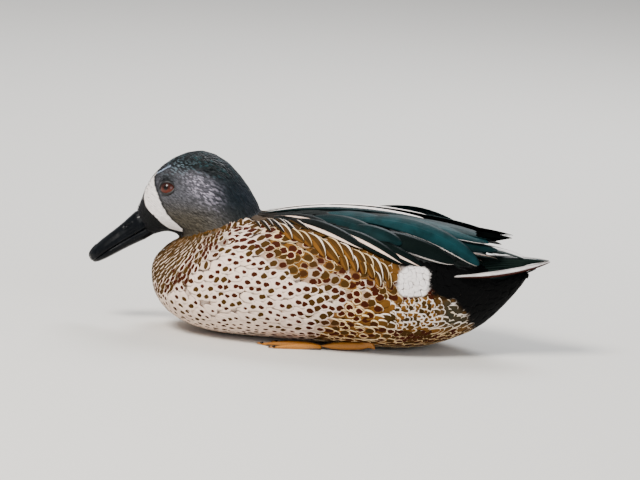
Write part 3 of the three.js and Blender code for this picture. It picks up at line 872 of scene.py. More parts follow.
def feather_material(name, barb_pitch, roughness, gloss, sheen_tint=None):
    """Contour feathers: keratin vanes whose barbs run out and forward from a shaft, softly glossy.

    The ground, the spot near the tip with its ring, and the fringe are each feather's own."""
    material, shader, node = new_material(name)
    where = node("TexCoord", out="Object")
    (across, along, ground, mark, edge, half_long, half_wide, middle, cos, sin, ring_width,
     length, width, fringe, bare_low, bare_high, bare_tip) = own_look(node, "spot", "ring", "span", "bare")

    # Everything from here on is in millimetres on the feather.
    onward = node(TIMES, node(MINUS, along, middle), length)
    sideways = node(TIMES, node(MINUS, across, 0.5), width)
    turned = node(TIMES_PLUS, onward, cos, node(TIMES, sideways, sin))
    crossed = node(MINUS, node(TIMES, sideways, cos), node(TIMES, onward, sin))
    turned, crossed = node(OVER, turned, half_long), node(OVER, crossed, half_wide)
    on_spot = node("CombineXYZ", turned, crossed)
    reach = node("VectorMath", on_spot, operation="LENGTH", out="Value")
    from_shaft = node(SIZE, sideways)
    slope = node(TIMES_PLUS, from_shaft, -0.7, node(TIMES, along, length))
    barbs = node(SINE, node(TIMES, slope, 2 * math.pi / barb_pitch))
    ragged = node(TIMES_PLUS, node("TexNoise", grain(where, 1.7, 3.0)), 1.6, -0.8)
    ragged = node(TIMES_PLUS, barbs, 0.07, ragged)
    off_spot = node(TIMES, node(MINUS, reach, 1.0), half_wide)
    off_spot = node(TIMES_PLUS, ragged, 0.9, off_spot)
    in_spot = node(RISE, off_spot, 0.18, -0.12)
    in_ring = node(RISE, node(MINUS, off_spot, ring_width), 0.25, -0.15)
    half = node(TIMES, width, 0.46)
    to_low = node(PLUS, node(PLUS, half, sideways), bare_low)
    to_high = node(PLUS, node(MINUS, half, sideways), bare_high)
    to_tip = node(TIMES_PLUS, node(MINUS, 1.0, along), length, bare_tip)
    to_side = node(SMALLER, to_low, to_high)
    to_rim = node("Math", to_side, to_tip, 0.8, operation="SMOOTH_MIN")
    to_rim = node(TIMES_PLUS, ragged, 0.35, to_rim)
    in_fringe = node(RISE, node(MINUS, fringe, to_rim), -0.12, 0.18)

    shade = node(TIMES_PLUS, node("TexNoise", grain(where, 2.5)), 0.36, 0.82)
    shade = node(TIMES_PLUS, barbs, 0.05, shade)
    colour = ground
    for share, tone in ((in_fringe, edge), (in_ring, edge), (in_spot, mark)):
        colour = node(BLEND, {0: share, 6: colour, 7: tone})
    colour = node(BLEND, {0: 1.0, 6: colour, 7: shade}, blend_type="MULTIPLY")
    shaft = node(RISE, from_shaft, 0.35, 0.0)
    height = node(TIMES_PLUS, shaft, 0.6, node(TIMES, barbs, 0.5))
    bump = node("Bump", {"Height": height, "Strength": 0.3, "Distance": 0.1 * MM})
    feed(shader, {"Base Color": colour, "Normal": bump, "Roughness": roughness, "Specular IOR Level": gloss})
    if sheen_tint:
        feed(shader, {"Sheen Weight": 0.04, "Sheen Roughness": 0.35, "Sheen Tint": linear(sheen_tint)})
    return material


def long_feather_material(name, gloss, roughness, shadow="050908", tint="a5d8dc"):
    """Wing and tail feathers: stiff keratin vanes with an oily gloss, fine barbs and a raised shaft.

    Each one has its own pale streak along the shaft and its own pale outer edge."""
    material, shader, node = new_material(name)
    where = node("TexCoord", out="Object")
    (across, along, ground, mark, edge, streak, lower, upper,
     streak_start, centre, border_start) = own_look(node, "broad", "start")
    ragged = node(TIMES_PLUS, node("TexNoise", grain(where, 1.2)), 0.2, -0.1)
    from_shaft = node(SIZE, node(TIMES_PLUS, across, 2.0, -1.0))
    from_streak = node(TIMES, node(MINUS, across, centre), 2.0)
    from_streak = node(SIZE, from_streak)
    after, rest = (node(MINUS, whole, streak_start) for whole in (along, 1.0))
    onward = node(LARGER, node(OVER, after, rest), 0.0)
    swell = node(SINE, node(TIMES, onward, math.pi))
    swell = node("Math", node(LARGER, swell, 0.0), 0.6, operation="POWER")
    wide = node(TIMES_PLUS, ragged, 0.3, node(TIMES, streak, swell))
    in_streak = node(RISE, node(MINUS, wide, from_streak), -0.05, 0.05)
    to_lower = node(MINUS, lower, across)
    to_upper = node(MINUS, upper, node(MINUS, 1.0, across))
    to_border = node(TIMES_PLUS, ragged, 0.25, node(LARGER, to_lower, to_upper))
    in_border = node(RISE, to_border, -0.015, 0.015)
    begun = node(RISE, node(MINUS, along, border_start), 0.0, 0.15)
    in_border = node(TIMES, in_border, begun)
    shade = node(RISE, node("TexNoise", grain(where, 9.0, 3.0)), 0.3, 0.8)
    dark, colour = linear(shadow), ground
    for share, depth in ((from_shaft, 0.5), (shade, 0.6)):
        colour = node(BLEND, {0: node(TIMES, share, depth), 6: colour, 7: dark})
    for share, tone in ((in_border, edge), (in_streak, mark)):
        colour = node(BLEND, {0: share, 6: colour, 7: tone})
    slope = node(TIMES_PLUS, from_shaft, -0.10, along)
    barbs = node(SINE, node(TIMES, slope, 2 * math.pi * LONG_BARBS))
    shaft = node(RISE, from_shaft, 0.10, 0.0)
    height = node(TIMES_PLUS, shaft, 1.4, node(TIMES, barbs, 0.35))
    bump = node("Bump", {"Height": height, "Strength": 0.4, "Distance": 0.15 * MM})
    feed(shader, {"Base Color": colour, "Normal": bump, "Roughness": roughness,
                  "Specular IOR Level": gloss, "Specular Tint": linear(tint)})
    return material


def eye_material(iris):
    """A wet eye: clear cornea over a red-brown iris with fine spokes and a black pupil, with painted shade
    under the upper lid and painted light on the lower iris.
    """
    material, shader, node = new_material("wet_eye")
    where = node("TexCoord", out="Object")
    x, y, _ = node("SeparateXYZ", node("UVMap", uv_map="eye"), out=slice(3))
    x, y = (node(TIMES_PLUS, axis, EYE_MAP, -EYE_MAP / 2) for axis in (x, y))
    far = node("VectorMath", node("CombineXYZ", x, y), operation="LENGTH", out="Value")
    spokes = node(TIMES, node("Math", y, x, operation="ARCTAN2"), 44.0)
    spokes = node(TIMES_PLUS, node(SINE, spokes), 0.25,
                  node("TexNoise", grain(where, 0.5)))
    spokes = node(RISE, spokes, 0.2, 0.9)
    # Painted shade: the iris darkens under the upper lid, as if the lid shaded it
    upper = node(TIMES, node(RISE, y, -0.5, 3.0), 0.75)
    # Painted light: the lower iris is brightened towards amber, as if lit
    lower = node(TIMES, node(RISE, y, 0.8, -3.0), 0.5)
    limbus = node(RISE, far, 4.2, EYE_BALL["iris"])
    pupil = node(RISE, far, EYE_BALL["pupil"] + 0.5, EYE_BALL["pupil"] - 0.4)
    # shadow is the dark of the limbus and also the painted shade under the lid; amber is the painted light on
    # the lower iris
    bright, shadow, amber = tuple(min(1.0, c * 2.4) for c in iris), linear("120503"), linear("661f04")
    colour = iris
    for share, tone in ((spokes, bright), (upper, shadow), (lower, amber), (limbus, shadow),
                        (pupil, linear("080201"))):
        colour = node(BLEND, {0: share, 6: colour, 7: tone})
    feed(shader, {"Base Color": colour, "Roughness": 0.3, "Specular IOR Level": 0.1,
                  "Coat Weight": 0.45, "Coat Roughness": 0.02})
    return material


def eyelid_material():
    """The bare rim of the eyelids: dark, fine-grained skin, slightly moist."""
    material, shader, node = new_material("bare_eyelid_skin")
    pores = node("TexNoise", grain(node("TexCoord", out="Object"), 0.5, 3.0))
    share = node(RISE, pores, 0.3, 0.7)
    colour = node(BLEND, {0: share, 6: linear("040404"), 7: linear("0b0a0a")})
    bump = node("Bump", {"Height": pores, "Strength": 0.6, "Distance": 0.12 * MM})
    feed(shader, {"Base Color": colour, "Normal": bump, "Roughness": 0.45})
    return material


def skin_material(name="feathered_skin"):
    """Living skin under the plumage, matt and in the colours of the down that hides it."""
    material, shader, node = new_material(name)
    where = node("TexCoord", out="Object")
    # Painted shade and uneven tone: the ground is darkened at random, by up to a fifth, towards a dark brown,
    # for skin that lies in shade under the feathers
    tone = node(RISE, node("TexNoise", grain(where, 1.5, 3.0)), 0.2, 0.8)
    colour = node(BLEND, {0: node(TIMES, tone, 0.2), 6: node("Attribute", attribute_name="ground"),
                          7: linear("27221d")})
    pores = node("TexNoise", grain(where, 0.8))
    bump = node("Bump", {"Height": pores, "Strength": 0.4, "Distance": 0.2 * MM})
    feed(shader, {"Base Color": colour, "Normal": bump, "Roughness": 0.8})
    return material


def horn_material(name, colour, roughness):
    """Keratin horn, grown in thin layers: smooth and waxy, with faint cloudy growth marks."""
    material, shader, node = new_material(name)
    where = node("TexCoord", out="Object")
    cloud = node(RISE, node("TexNoise", grain(where, 6.0, 4.0)), 0.4, 0.8)
    pale = tuple(min(1.0, c * 1.8 + 0.002) for c in colour)
    shade = node(BLEND, {0: cloud, 6: colour, 7: pale})
    rough = node("TexNoise", grain(where, 1.6, 3.0))
    rough = node(TIMES_PLUS, rough, 0.22, roughness - 0.11)
    layers = node("TexNoise", grain(where, 0.6, 3.0))
    bump = node("Bump", {"Height": layers, "Strength": 0.25, "Distance": 0.08 * MM})
    feed(shader, {"Base Color": shade, "Roughness": rough, "Normal": bump, "Specular IOR Level": 0.10,
                  "Coat Weight": 0.05, "Coat Roughness": 0.12})
    return material


def scaled_skin_material(colour, web):
    """Bare leg skin: small flat scales, horny and dry, with dusky webs between the toes."""
    material, shader, node = new_material("scaled_leg_skin")
    scales = node("TexVoronoi", {"Vector": node("TexCoord", out="Object"), "Scale": 1 / (1.1 * MM)},
                  feature="DISTANCE_TO_EDGE", out="Distance")
    seam = node(RISE, scales, 0.0, 0.12)
    dusk = node("Attribute", attribute_name="dusk", out="Fac")
    in_seam = node(TIMES, node(MINUS, 1.0, seam), 0.45)
    shade = node(BLEND, {0: dusk, 6: colour, 7: web})
    shade = node(BLEND, {0: in_seam, 6: shade, 7: tuple(c * 0.3 for c in colour)})
    bump = node("Bump", {"Height": seam, "Strength": 0.5, "Distance": 0.2 * MM})
    feed(shader, {"Base Color": shade, "Normal": bump, "Roughness": 0.45})
    return material


# ---- Pieces ----


def finished(operator, what):
    operator.report({"INFO"}, what + " made")
    return {"FINISHED"}


BILL_SKIN_TO = -116  # how far forward the skin runs under the bill
TRUNK_MESH = {"u_segments": 72, "v_segments": 72}


class TEAL_OT_skin(bpy.types.Operator):
    """Makes one skin under all the plumage, from the frame's head, neck, eyes, bill root, trunk and rump"""

    bl_idname = "teal.skin"
    bl_label = "Skin"

    def execute(self, context):
        sizes = context.scene.teal_sizes
        form = form_of(["head", "neck", "eye_left", "eye_right"], grow=0.25)
        bill = form_of(["bill_upper", "bill_lower"], grow=0.3)
        tip = [v for v in bill.verts if v.co.y < BILL_SKIN_TO * MM]
        bmesh.ops.delete(bill, geom=tip, context="VERTS")
        bmesh.ops.holes_fill(bill, edges=bill.edges)
        trunk = bmesh.new()
        bmesh.ops.create_uvsphere(trunk, **TRUNK_MESH, radius=1.0)
        for vertex in trunk.verts:
            along = (vertex.co.z + 1) / 2
            y = body.y[0] + (body.y[-1] - body.y[0]) * along
            vertex.co = Vector(body.point(y, math.atan2(vertex.co.x, vertex.co.y))) * MM
        bmesh.ops.recalc_face_normals(trunk, faces=trunk.faces)
        whole = bmesh.new()
        for part in (form, bill, trunk):
            mesh = mesh_of(part, "part")
            whole.from_mesh(mesh)
            bpy.data.meshes.remove(mesh)
        skin = smoothed(remeshed(whole, sizes.skin_face / MM), rounds=3)
        co = np.array([v.co for v in skin.verts]) / MM
        head = ease(-3, 5, over_neck_line(co))
        depth = mix(sizes.body_coat / MM, sizes.head_coat / MM, head)
        for vertex, inward in zip(skin.verts, depth):
            vertex.co -= vertex.normal * float(inward) * MM
        smoothed(skin, rounds=3)
        bmesh.ops.recalc_face_normals(skin, faces=skin.faces)
        piece = piece_from(skin, "skin")
        co = places_of(piece.data)
        paint(piece.data, "ground", skin_colours(co, wobble(co, 5.0, 1)))
        place_on_bird(piece, skin_material(), "body_feathers", "head", "neck", "trunk", "rump")
        return finished(self, "Skin")


HEAD_LONG, HEAD_WIDE = 4.2, 1.55  # length and width of the head's feathers, for each millimetre between them
FEATHER_FITS = (0.0, 0.3, 0.5, 0.75, 1.0)  # shares of its length that a feather beside the eye may have


class TEAL_OT_head_coat(bpy.types.Operator):
    """Lays the small feathers of the head and neck"""

    bl_idname = "teal.head_coat"
    bl_label = "Head feathers"

    def execute(self, context):
        sizes = context.scene.teal_sizes
        surface = Surface(bpy.data.objects["skin"])
        middle, out, _, _, radius = eye_frame("left")
        eye = np.array(middle + out * radius)

        def head_depth(points):
            return sizes.head_coat / MM * (1 - 0.2 * ease(-80, -92, points[..., 1]))

        def off_eye(points):
            near = (points - eye)[:, 1:] / (np.array(EYE_OPENING) / 2)
            return (np.linalg.norm(near, axis=1) > 1) | (np.abs(points[:, 0]) < 6)

        def reach(points):
            """How long the feathers are: the full length, or less where they would lie over the eye."""
            full = gap(points) * HEAD_LONG
            steps = [off_eye(points + lie(points) * (full * share)[:, None]) for share in FEATHER_FITS[1:]]
            return full * np.array(FEATHER_FITS)[np.logical_and.accumulate(steps).sum(axis=0)]

        def in_face(points):
            """Every place before the neck where a feather stays off the eye."""
            clear = off_eye(points) & (reach(points) > 0)
            return clear & (over_neck_line(points) > -1.5) & (points[:, 1] < -84)

        def in_neck(points):
            return (over_neck_line(points) > -1.5) & (points[:, 1] > -85)

        def gap(points):
            return mix(sizes.neck_spacing / MM, sizes.face_spacing / MM, ease(-66, -92, points[:, 1]))

        material = feather_material("head_feather_keratin", barb_pitch=0.3, roughness=0.45, gloss=0.14,
                                    sheen_tint="b9a9d6")
        vane = Vane(around=6, steps=4, arch=0.05, tip=0.75)
        for i, (name, wanted) in enumerate((("face_feathers", in_face), ("neck_feathers", in_neck))):
            roots = surface.roots(gap, wanted, SEED + i)
            size = gap(roots)
            piece = coat(name, surface, roots, head_plumage, reach(roots), size * HEAD_WIDE, head_depth,
                         vane, unwrap_head, SEED + 5 + i, thickness=0.08,
                         crisp=lambda points: np.ones(len(points)))
            place_on_bird(piece, material, "head_feathers")
        return finished(self, "Head feathers")


# The upper flank's long feathers, by the (aft, up) places of the pale upper edge, then their width.
UPPER_FLANK = (
    ((-26, 81), (-18, 78.5), (-13, 74.5), 6.5),
    ((-18, 80), (-11, 77.2), (-5, 74), 7),
    ((-11, 79), (-4, 76), (1, 72), 7),
    ((-3, 78.6), (6, 73.6), (11, 67.5), 7.5),
    ((4, 77.5), (12.5, 71.2), (20, 65.2), 7.5),
    ((10, 77), (17.5, 72.8), (22.5, 67.6), 6.5),
    ((19, 74.5), (25.5, 70.4), (29.5, 65.6), 7),
    ((22, 68.5), (25.3, 62.5), (27.5, 58.3), 5.5),
    ((28, 71.5), (34.2, 67.3), (38, 63.2), 7),
    ((24.5, 69.3), (31, 63.9), (33.2, 58.8), 6),
    ((34, 69.5), (40.5, 65.2), (43, 60.5), 7),
    ((32, 66), (37, 61.5), (38.5, 57), 5.5),
    ((39, 67.3), (46, 62.9), (50, 54.5), 7),
    ((36.5, 66), (42, 60), (44.5, 55.4), 6),
    ((45.5, 64.5), (51, 60), (53.5, 54.5), 6),
    ((44, 58.5), (47.5, 54), (49, 49.5), 5),
    ((50, 60), (54, 55), (55.5, 49), 5),
)


def flank_line(edge_places, width):
    """The middle line of an upper flank feather, tucked in at its root and proud at its tip."""
    places = np.array(edge_places, float)
    places[2] += 0.3 * (places[2] - places[1])
    ahead = unit(places[2] - places[0])
    places += np.array([ahead[1], -ahead[0]]) * width / 2
    points = body.side(places[:, 0], places[:, 1])
    return points + outward(points) * np.array([[-0.9], [0.5], [0.6]])


# The mantle's lined feathers, in the same way.
MANTLE_LINES = (
    ((-41, 78.2), (-38.2, 77.2), (-35.6, 75.8), 2.6),
    ((-37.5, 79.4), (-33.6, 78.2), (-28.8, 75.8), 3.6),
    ((-34.2, 80.4), (-31, 79.4), (-27.6, 77.8), 3),
    ((-31.1, 81.2), (-25.6, 79.4), (-19.6, 76.4), 4.2),
    ((-27.4, 81.8), (-23, 80.6), (-18.2, 78.8), 3.2),
    ((-24.4, 82.4), (-18, 80.2), (-10.4, 76.8), 4.4),
    ((-19, 83.4), (-13, 82.2), (-5, 79.8), 4.5),
)
BROADEST = 7.5  # width of the widest body feather
BREAST_TO, BELLY_TO = -52, 9  # how far aft the breast's piece runs, and how far up the belly's


class TEAL_OT_body_coat(bpy.types.Operator):
    """Lays the spotted feathers of the breast, flanks and belly, the mantle and the black stern"""

    bl_idname = "teal.body_coat"
    bl_label = "Body feathers"

    def execute(self, context):
        sizes = context.scene.teal_sizes
        surface = Surface(bpy.data.objects["skin"])

        def body_depth(points):
            """Full over the body, and tucked in under the neck's feathers."""
            tucked = ease(1.5, -5, over_neck_line(points.reshape(-1, 3))).reshape(points.shape[:-1])
            return sizes.body_coat / MM * (0.18 + 0.82 * tucked)

        def even(setting):
            return lambda points: np.full(len(points), getattr(sizes, setting) / MM)

        def back_depth(points):
            """Full over the mantle, and flat under the long feathers."""
            return body_depth(points) * (1 - 0.55 * ease(-18, -6, points[..., 1]))

        def breast_gap(points):
            to_edge = points[:, 1] - along_line(BREAST_EDGE, points[:, 2])
            return mix(sizes.flank_spacing / MM, sizes.breast_spacing / MM, ease(6, -4, to_edge))

        def flank_gap(points):
            y, z = points[:, 1], points[:, 2]
            to_patch = np.hypot(y - WHITE_PATCH["middle"][0], z - WHITE_PATCH["middle"][1])
            fine = np.maximum(ease(46, 54, y) * ease(42, 38, z), ease(18, 13, to_patch))
            flank = (1 + 0.08 * ease(6, -12, y)) * sizes.flank_spacing / MM
            return mix(flank, sizes.breast_spacing / MM, fine)

        def in_breast(points):
            return in_flanks(points) & (points[:, 1] < BREAST_TO)

        def in_flank(points):
            return in_flanks(points) & (points[:, 1] >= BREAST_TO) & (points[:, 2] >= BELLY_TO)

        def in_belly(points):
            return in_flanks(points) & (points[:, 1] >= BREAST_TO) & (points[:, 2] < BELLY_TO)

        # Name, where it grows, the gap between roots, the look, its length and width for each millimetre of
        # gap, and the slot.
        parts = (
            ("breast_feathers", in_breast, breast_gap, body_plumage, 2.7, 2.5, "body_feathers"),
            ("flank_feathers", in_flank, flank_gap, body_plumage, 2.6, 1.75, "body_feathers"),
            ("belly_feathers", in_belly, even("belly_spacing"), body_plumage, 2.4, 1.6, "body_feathers"),
            ("back_feathers", in_back, even("back_spacing"), back_plumage, 2.5, 1.6, "wing_feathers"),
            ("stern_feathers", in_stern, even("stern_spacing"), body_plumage, 3.4, 1.6, "stern_feathers"),
        )
        vane = Vane(around=8, steps=7, arch=0.05)
        square_vane = Vane(around=8, steps=6, arch=0.05, tip=0.28)
        material = feather_material("body_feather_keratin", barb_pitch=0.45, roughness=0.7, gloss=0.06)
        for i, (name, wanted, spacing, look, long, broad, slot) in enumerate(parts):
            def shown_in(points):
                shown = points + lie(points) * (spacing(points) * long * SHOWN)[:, None]
                return wanted(shown) & (over_neck_line(points) < 4)

            roots = surface.roots(spacing, shown_in, SEED + 10 + i)
            gap = spacing(roots)
            piece = coat(name, surface, roots, look, gap * long, np.minimum(gap * broad, BROADEST),
                         back_depth if name == "back_feathers" else body_depth,
                         square_vane if name == "breast_feathers" else vane, body.unwrap, SEED + 20 + i,
                         thickness=0.1, crisp=lambda points: ease(46, 54, points[:, 1]))
            place_on_bird(piece, material, slot)

        material = long_feather_material("flank_feather_keratin", gloss=0.06, roughness=0.7,
                                         shadow="1a1006", tint="ffffff")
        vane = Vane(around=8, steps=14, arch=0.05, tip=0.65, crowd=0.5)
        specs = [
            (flank_line(edge, width), width, "scallop" if i % 3 else "pale_scallop")
            for i, (*edge, width) in enumerate(UPPER_FLANK)
        ]
        blades("upper_flank_feathers", specs, vane, outward, material, "body_feathers", roll=0.07)
        specs = [(flank_line(edge, width), width, "lined") for *edge, width in MANTLE_LINES]
        blades("mantle_feathers", specs, vane, outward, material, "wing_feathers", roll=0.05)
        return finished(self, "Body feathers")


# Long feathers of the left side: the root, a point half way, the tip, the width and the look's name.
LONG_FEATHERS = (
    # The top feather's white upper border is a painted reflection: the light's pale band along the back's
    # outline
    ((5, -39, 79.6), (7, 13, 88.2), (8.5, 68, 85.8), 10, "top"),
    ((12, 30, 85.2), (14, 75, 83), (11, 113, 76.8), 13, "dark"),
    ((13, 14, 85), (18.5, 62, 83.4), (15, 112, 74.6), 15, "edged"),
    ((23, 20, 83.5), (31, 68, 81.8), (25, 107.5, 61), 15, "edged"),
    ((36, 26, 78.5), (41.5, 62, 73.5), (33, 92, 62.5), 13, "dark_edged"),
    ((24, 62, 76), (22, 90, 73.5), (13, 118, 70), 12, "dark"),
    ((13, -10, 81.5), (21, 22, 85), (28, 50, 82.6), 13, "plain"),
    ((21, -12, 80.5), (31.5, 16, 82.6), (39, 42, 77.0), 12, "dark"),
    ((32, 14, 79.5), (41, 38, 78.5), (44, 58, 73.5), 12, "dark"),
    ((39, 26, 76), (48, 50, 69.5), (45.5, 72, 60), 10, "narrow_streak"),
    ((33, 8, 79.5), (48.3, 35, 73.4), (51.5, 60, 62), 10, "streak"),
    ((24.5, -20, 80.5), (40, 6, 78.8), (52.5, 34, 69.8), 10, "wide_streak"),
    ((15, -30, 80), (24.5, -12, 82.2), (34, 8, 80.8), 8, "short_streak"),
)
PRIMARIES = 6
# The tail fan: its root as (aft, up), then its half width and its edge's drop at the root and at the tip.
TAIL = {"feathers": 14, "root": (80, 59.5), "length": 71, "step": 13, "half": (17, 6), "rise": 4.5,
        "crest": 2.0, "drop": (7, 2), "width": 10, "lean": 0.6}  # lean in radians, at the edge
TAIL_EDGE = (((36, 90, 54), (22.5, 121, 56.5), (1.5, 151.5, 63.6)), 6.0, "tail_outer")
# Coverts of the left side: over the tail as (side, start, end), under it as (side, how low), then others.
TAIL_COVERTS = ((3, 78, 122), (8, 80, 116), (13, 79, 110), (17, 78, 104))
UNDERTAIL = ((2, 7), (6, 6), (10, 4.5), (14, 3), (18, 1.5))
SINGLE_COVERTS = (
    (((7, 94, 68.5), (6.5, 116, 68.8), (3, 139, 62.8)), 7, "tail_crest"),
    (((20, 84, 66.5), (16, 101, 67), (9, 118, 63.5)), 6, "pink_streak"),
)
LOWEST_COVERTS = (
    (((3, 100, 38), (2.5, 121, 43), (1.5, 137.5, 55)), 9.0, "undertail"),
    (((8, 100, 38), (7, 120, 44), (4, 135.5, 54.5)), 9.0, "undertail"),
)
WING_AXIS = 45.0  # long feathers face away from a line at this height


def long_looks():
    """How each long feather looks: its ground, streak and edge colours, then shares of its half width for
    the streak, the lower border and the upper border, then where the streak starts, its place across the
    feather and where the borders start."""
    tone = palette()
    dark, white, rump, stern, gold = tone.green_black, tone.white, tone.rump, tone.stern, tone.gold
    none = -0.1
    unlined, whole = (none, none, none), (0.2, 0.5, 0.3)
    return {
        # The top feather's white upper border is a painted reflection of the light along the top of the back.
        "top": (mix(tone.teal, dark, 0.7), dark, white, (none, none, 0.62), (0.2, 0.5, 0.0)),
        "plain": (tone.teal, dark, tone.teal, unlined, whole),
        "edged": (tone.teal, dark, mix(white, tone.teal, 0.12), (none, 0.055, none), (0.2, 0.5, 0.35)),
        "dark_edged": (dark, dark, mix(white, tone.teal, 0.1), (none, 0.07, none), (0.2, 0.5, 0.35)),
        "dark": (mix(tone.teal, dark, 0.6), dark, dark, unlined, whole),
        "narrow_streak": (dark, tone.streak, dark, (0.15, none, none), (0.30, 0.42, 0.3)),
        "streak": (dark, tone.streak, tone.brown * 0.4, (0.19, 0.1, none), (0.10, 0.42, 0.3)),
        "wide_streak": (tone.mantle, tone.streak, tone.brown, (0.21, 0.1, none), (0.14, 0.24, 0.3)),
        "short_streak": (tone.mantle, tone.streak, tone.mantle, (0.18, none, none), (0.25, 0.4, 0.3)),
        "primary": (stern, stern, stern, unlined, whole),
        "undertail": (stern, stern, stern, unlined, whole),
        "covert": (rump, rump, tone.streak, (none, none, 0.16), (0.2, 0.5, 0.5)),
        "tail": (rump * 1.5, dark, rump * 3, (none, 0.02, none), (0.2, 0.5, 0.6)),
        "tail_crest": (rump * 1.5, dark, white * 0.85, (none, none, 0.5), (0.2, 0.5, 0.35)),
        "pink_streak": (rump * 1.5, mix(tone.streak, tone.rust, 0.25), dark, (0.3, none, none),
                        (0.25, 0.5, 0.3)),
        "tail_outer": (white * 0.9, dark, tone.rust * 0.6, (none, 0.3, none), (0.2, 0.5, 0.0)),
        "scallop": (mix(tone.olive, gold, 0.25), tone.cream, mix(tone.brown, gold, 0.65), (0.13, 0.4, none),
                    (0.05, 0.9, 0)),
        "pale_scallop": (mix(tone.brown, gold, 0.4), mix(tone.cream, white, 0.5), gold, (0.16, 0.4, none),
                         (0.0, 0.88, 0)),
        "lined": (tone.mantle, mix(white, tone.cream, 0.3), tone.brown, (0.14, 0.3, none), (0.1, 0.9, 0)),
    }


def through(root, middle, tip, share):
    """A smooth line through three points, at each share of the way."""
    share = np.asarray(share)[:, None]
    root, middle, tip = (np.asarray(p, float) for p in (root, middle, tip))
    line = root * (1 - share) * (1 - 2 * share) + middle * 4 * share * (1 - share)
    return line + tip * share * (2 * share - 1)


def primary(index):
    """The line of one wing tip feather, from the longest in."""
    inner = index / (PRIMARIES - 1)
    return (
        (20 + 3 * inner, 52 - 6 * inner, 78 - 4 * inner),
        (14 + 3 * inner, 92 - 8 * inner, 79.5 - 2.5 * inner),
        (5.5 + 2 * inner, 126 - 9 * inner, 77.5 - 2 * inner),
    )


def tail_feather(share):
    """The line of one tail feather; share runs from 0 in the middle to 1 at the left edge."""
    reach = TAIL["length"] - TAIL["step"] * abs(share) ** 1.5
    points = []
    for part in (0, 0.5, 1):
        x = share * (TAIL["half"][0] + (TAIL["half"][1] - TAIL["half"][0]) * part)
        drop = TAIL["drop"][0] + (TAIL["drop"][1] - TAIL["drop"][0]) * part
        z = TAIL["root"][1] + TAIL["rise"] * part - drop * share ** 2
        crest = TAIL["crest"] * (part == 0.5)
        points.append((x, TAIL["root"][0] + reach * part, z + crest * (1 - share ** 2)))
    return points


def blades(name, specs, vane, lean, material, slot, *nodes, roll=0.0):
    """Long feathers of both sides as one piece. Each spec has a line of three points, a width and a look."""
    looks = long_looks()
    lines = np.array([through(*line, vane.along) for line, _, _ in specs])
    ahead = unit(np.gradient(lines, axis=1))
    normals = np.array([lean(line) for line in lines])
    normals = unit(normals - ahead * (normals * ahead).sum(axis=2, keepdims=True))
    widths = np.array([width for _, width, _ in specs], float)
    mesh = vane.mesh(name, lines, normals, np.zeros(lines.shape[:2]), widths, thickness=0.32, roll=roll)
    each = len(vane.ring)
    chosen = [looks[look] for _, _, look in specs]
    for key, column in zip((*COLOUR_KEYS, "broad", "start"), zip(*chosen)):
        paint(mesh, key, np.repeat(np.array(column), each, axis=0))
    lay_map(mesh, "vane", np.tile(vane.uv(), (len(specs), 1)))
    form = bmesh.new()
    form.from_mesh(mesh)
    bpy.data.meshes.remove(mesh)
    copy = bmesh.ops.duplicate(form, geom=form.verts[:] + form.edges[:] + form.faces[:])["geom"]
    bmesh.ops.scale(form, verts=of_kind(copy, bmesh.types.BMVert), vec=(-1, 1, 1))
    bmesh.ops.reverse_faces(form, faces=of_kind(copy, bmesh.types.BMFace))
    place_on_bird(piece_from(form, name), material, slot, *nodes)


def outward(line):
    """The ways that long feathers face, away from the bird's middle."""
    return unit(line * np.array([1, 0, 1]) - np.array([0, 0, WING_AXIS]))


class TEAL_OT_long_feathers(bpy.types.Operator):
    """Lays the long shoulder feathers, the tertials and the wing tips"""

    bl_idname = "teal.long_feathers"
    bl_label = "Long wing feathers"

    def execute(self, context):
        for side in SIDES:
            form = smoothed(remeshed(form_of(["wing_" + side], grow=-0.7), WING_FACE), rounds=3)
            base = piece_from(form, "wing_base_" + side)
            paint(base.data, "ground", np.tile(palette().green_black, (len(base.data.vertices), 1)))
            place_on_bird(base, skin_material("wing_down"), "wing_feathers", "wing_" + side)
        material = long_feather_material("glossy_long_feather_keratin", gloss=0.07, roughness=0.46)
        vane = Vane(around=8, steps=22, tip=0.5, arch=0.16, crowd=0.5)
        specs = [(line, width, look) for *line, width, look in LONG_FEATHERS]
        blades("shoulder_feathers", specs, vane, outward, material, "wing_feathers")
        specs = [(primary(i), 9, "primary") for i in range(PRIMARIES)]
        material = long_feather_material("matt_wing_tip_keratin", gloss=0.0, roughness=0.6)
        nodes = ["primaries_" + side for side in SIDES]
        blades("wing_tips", specs, vane, outward, material, "wing_feathers", *nodes)
        return finished(self, "Long wing feathers")


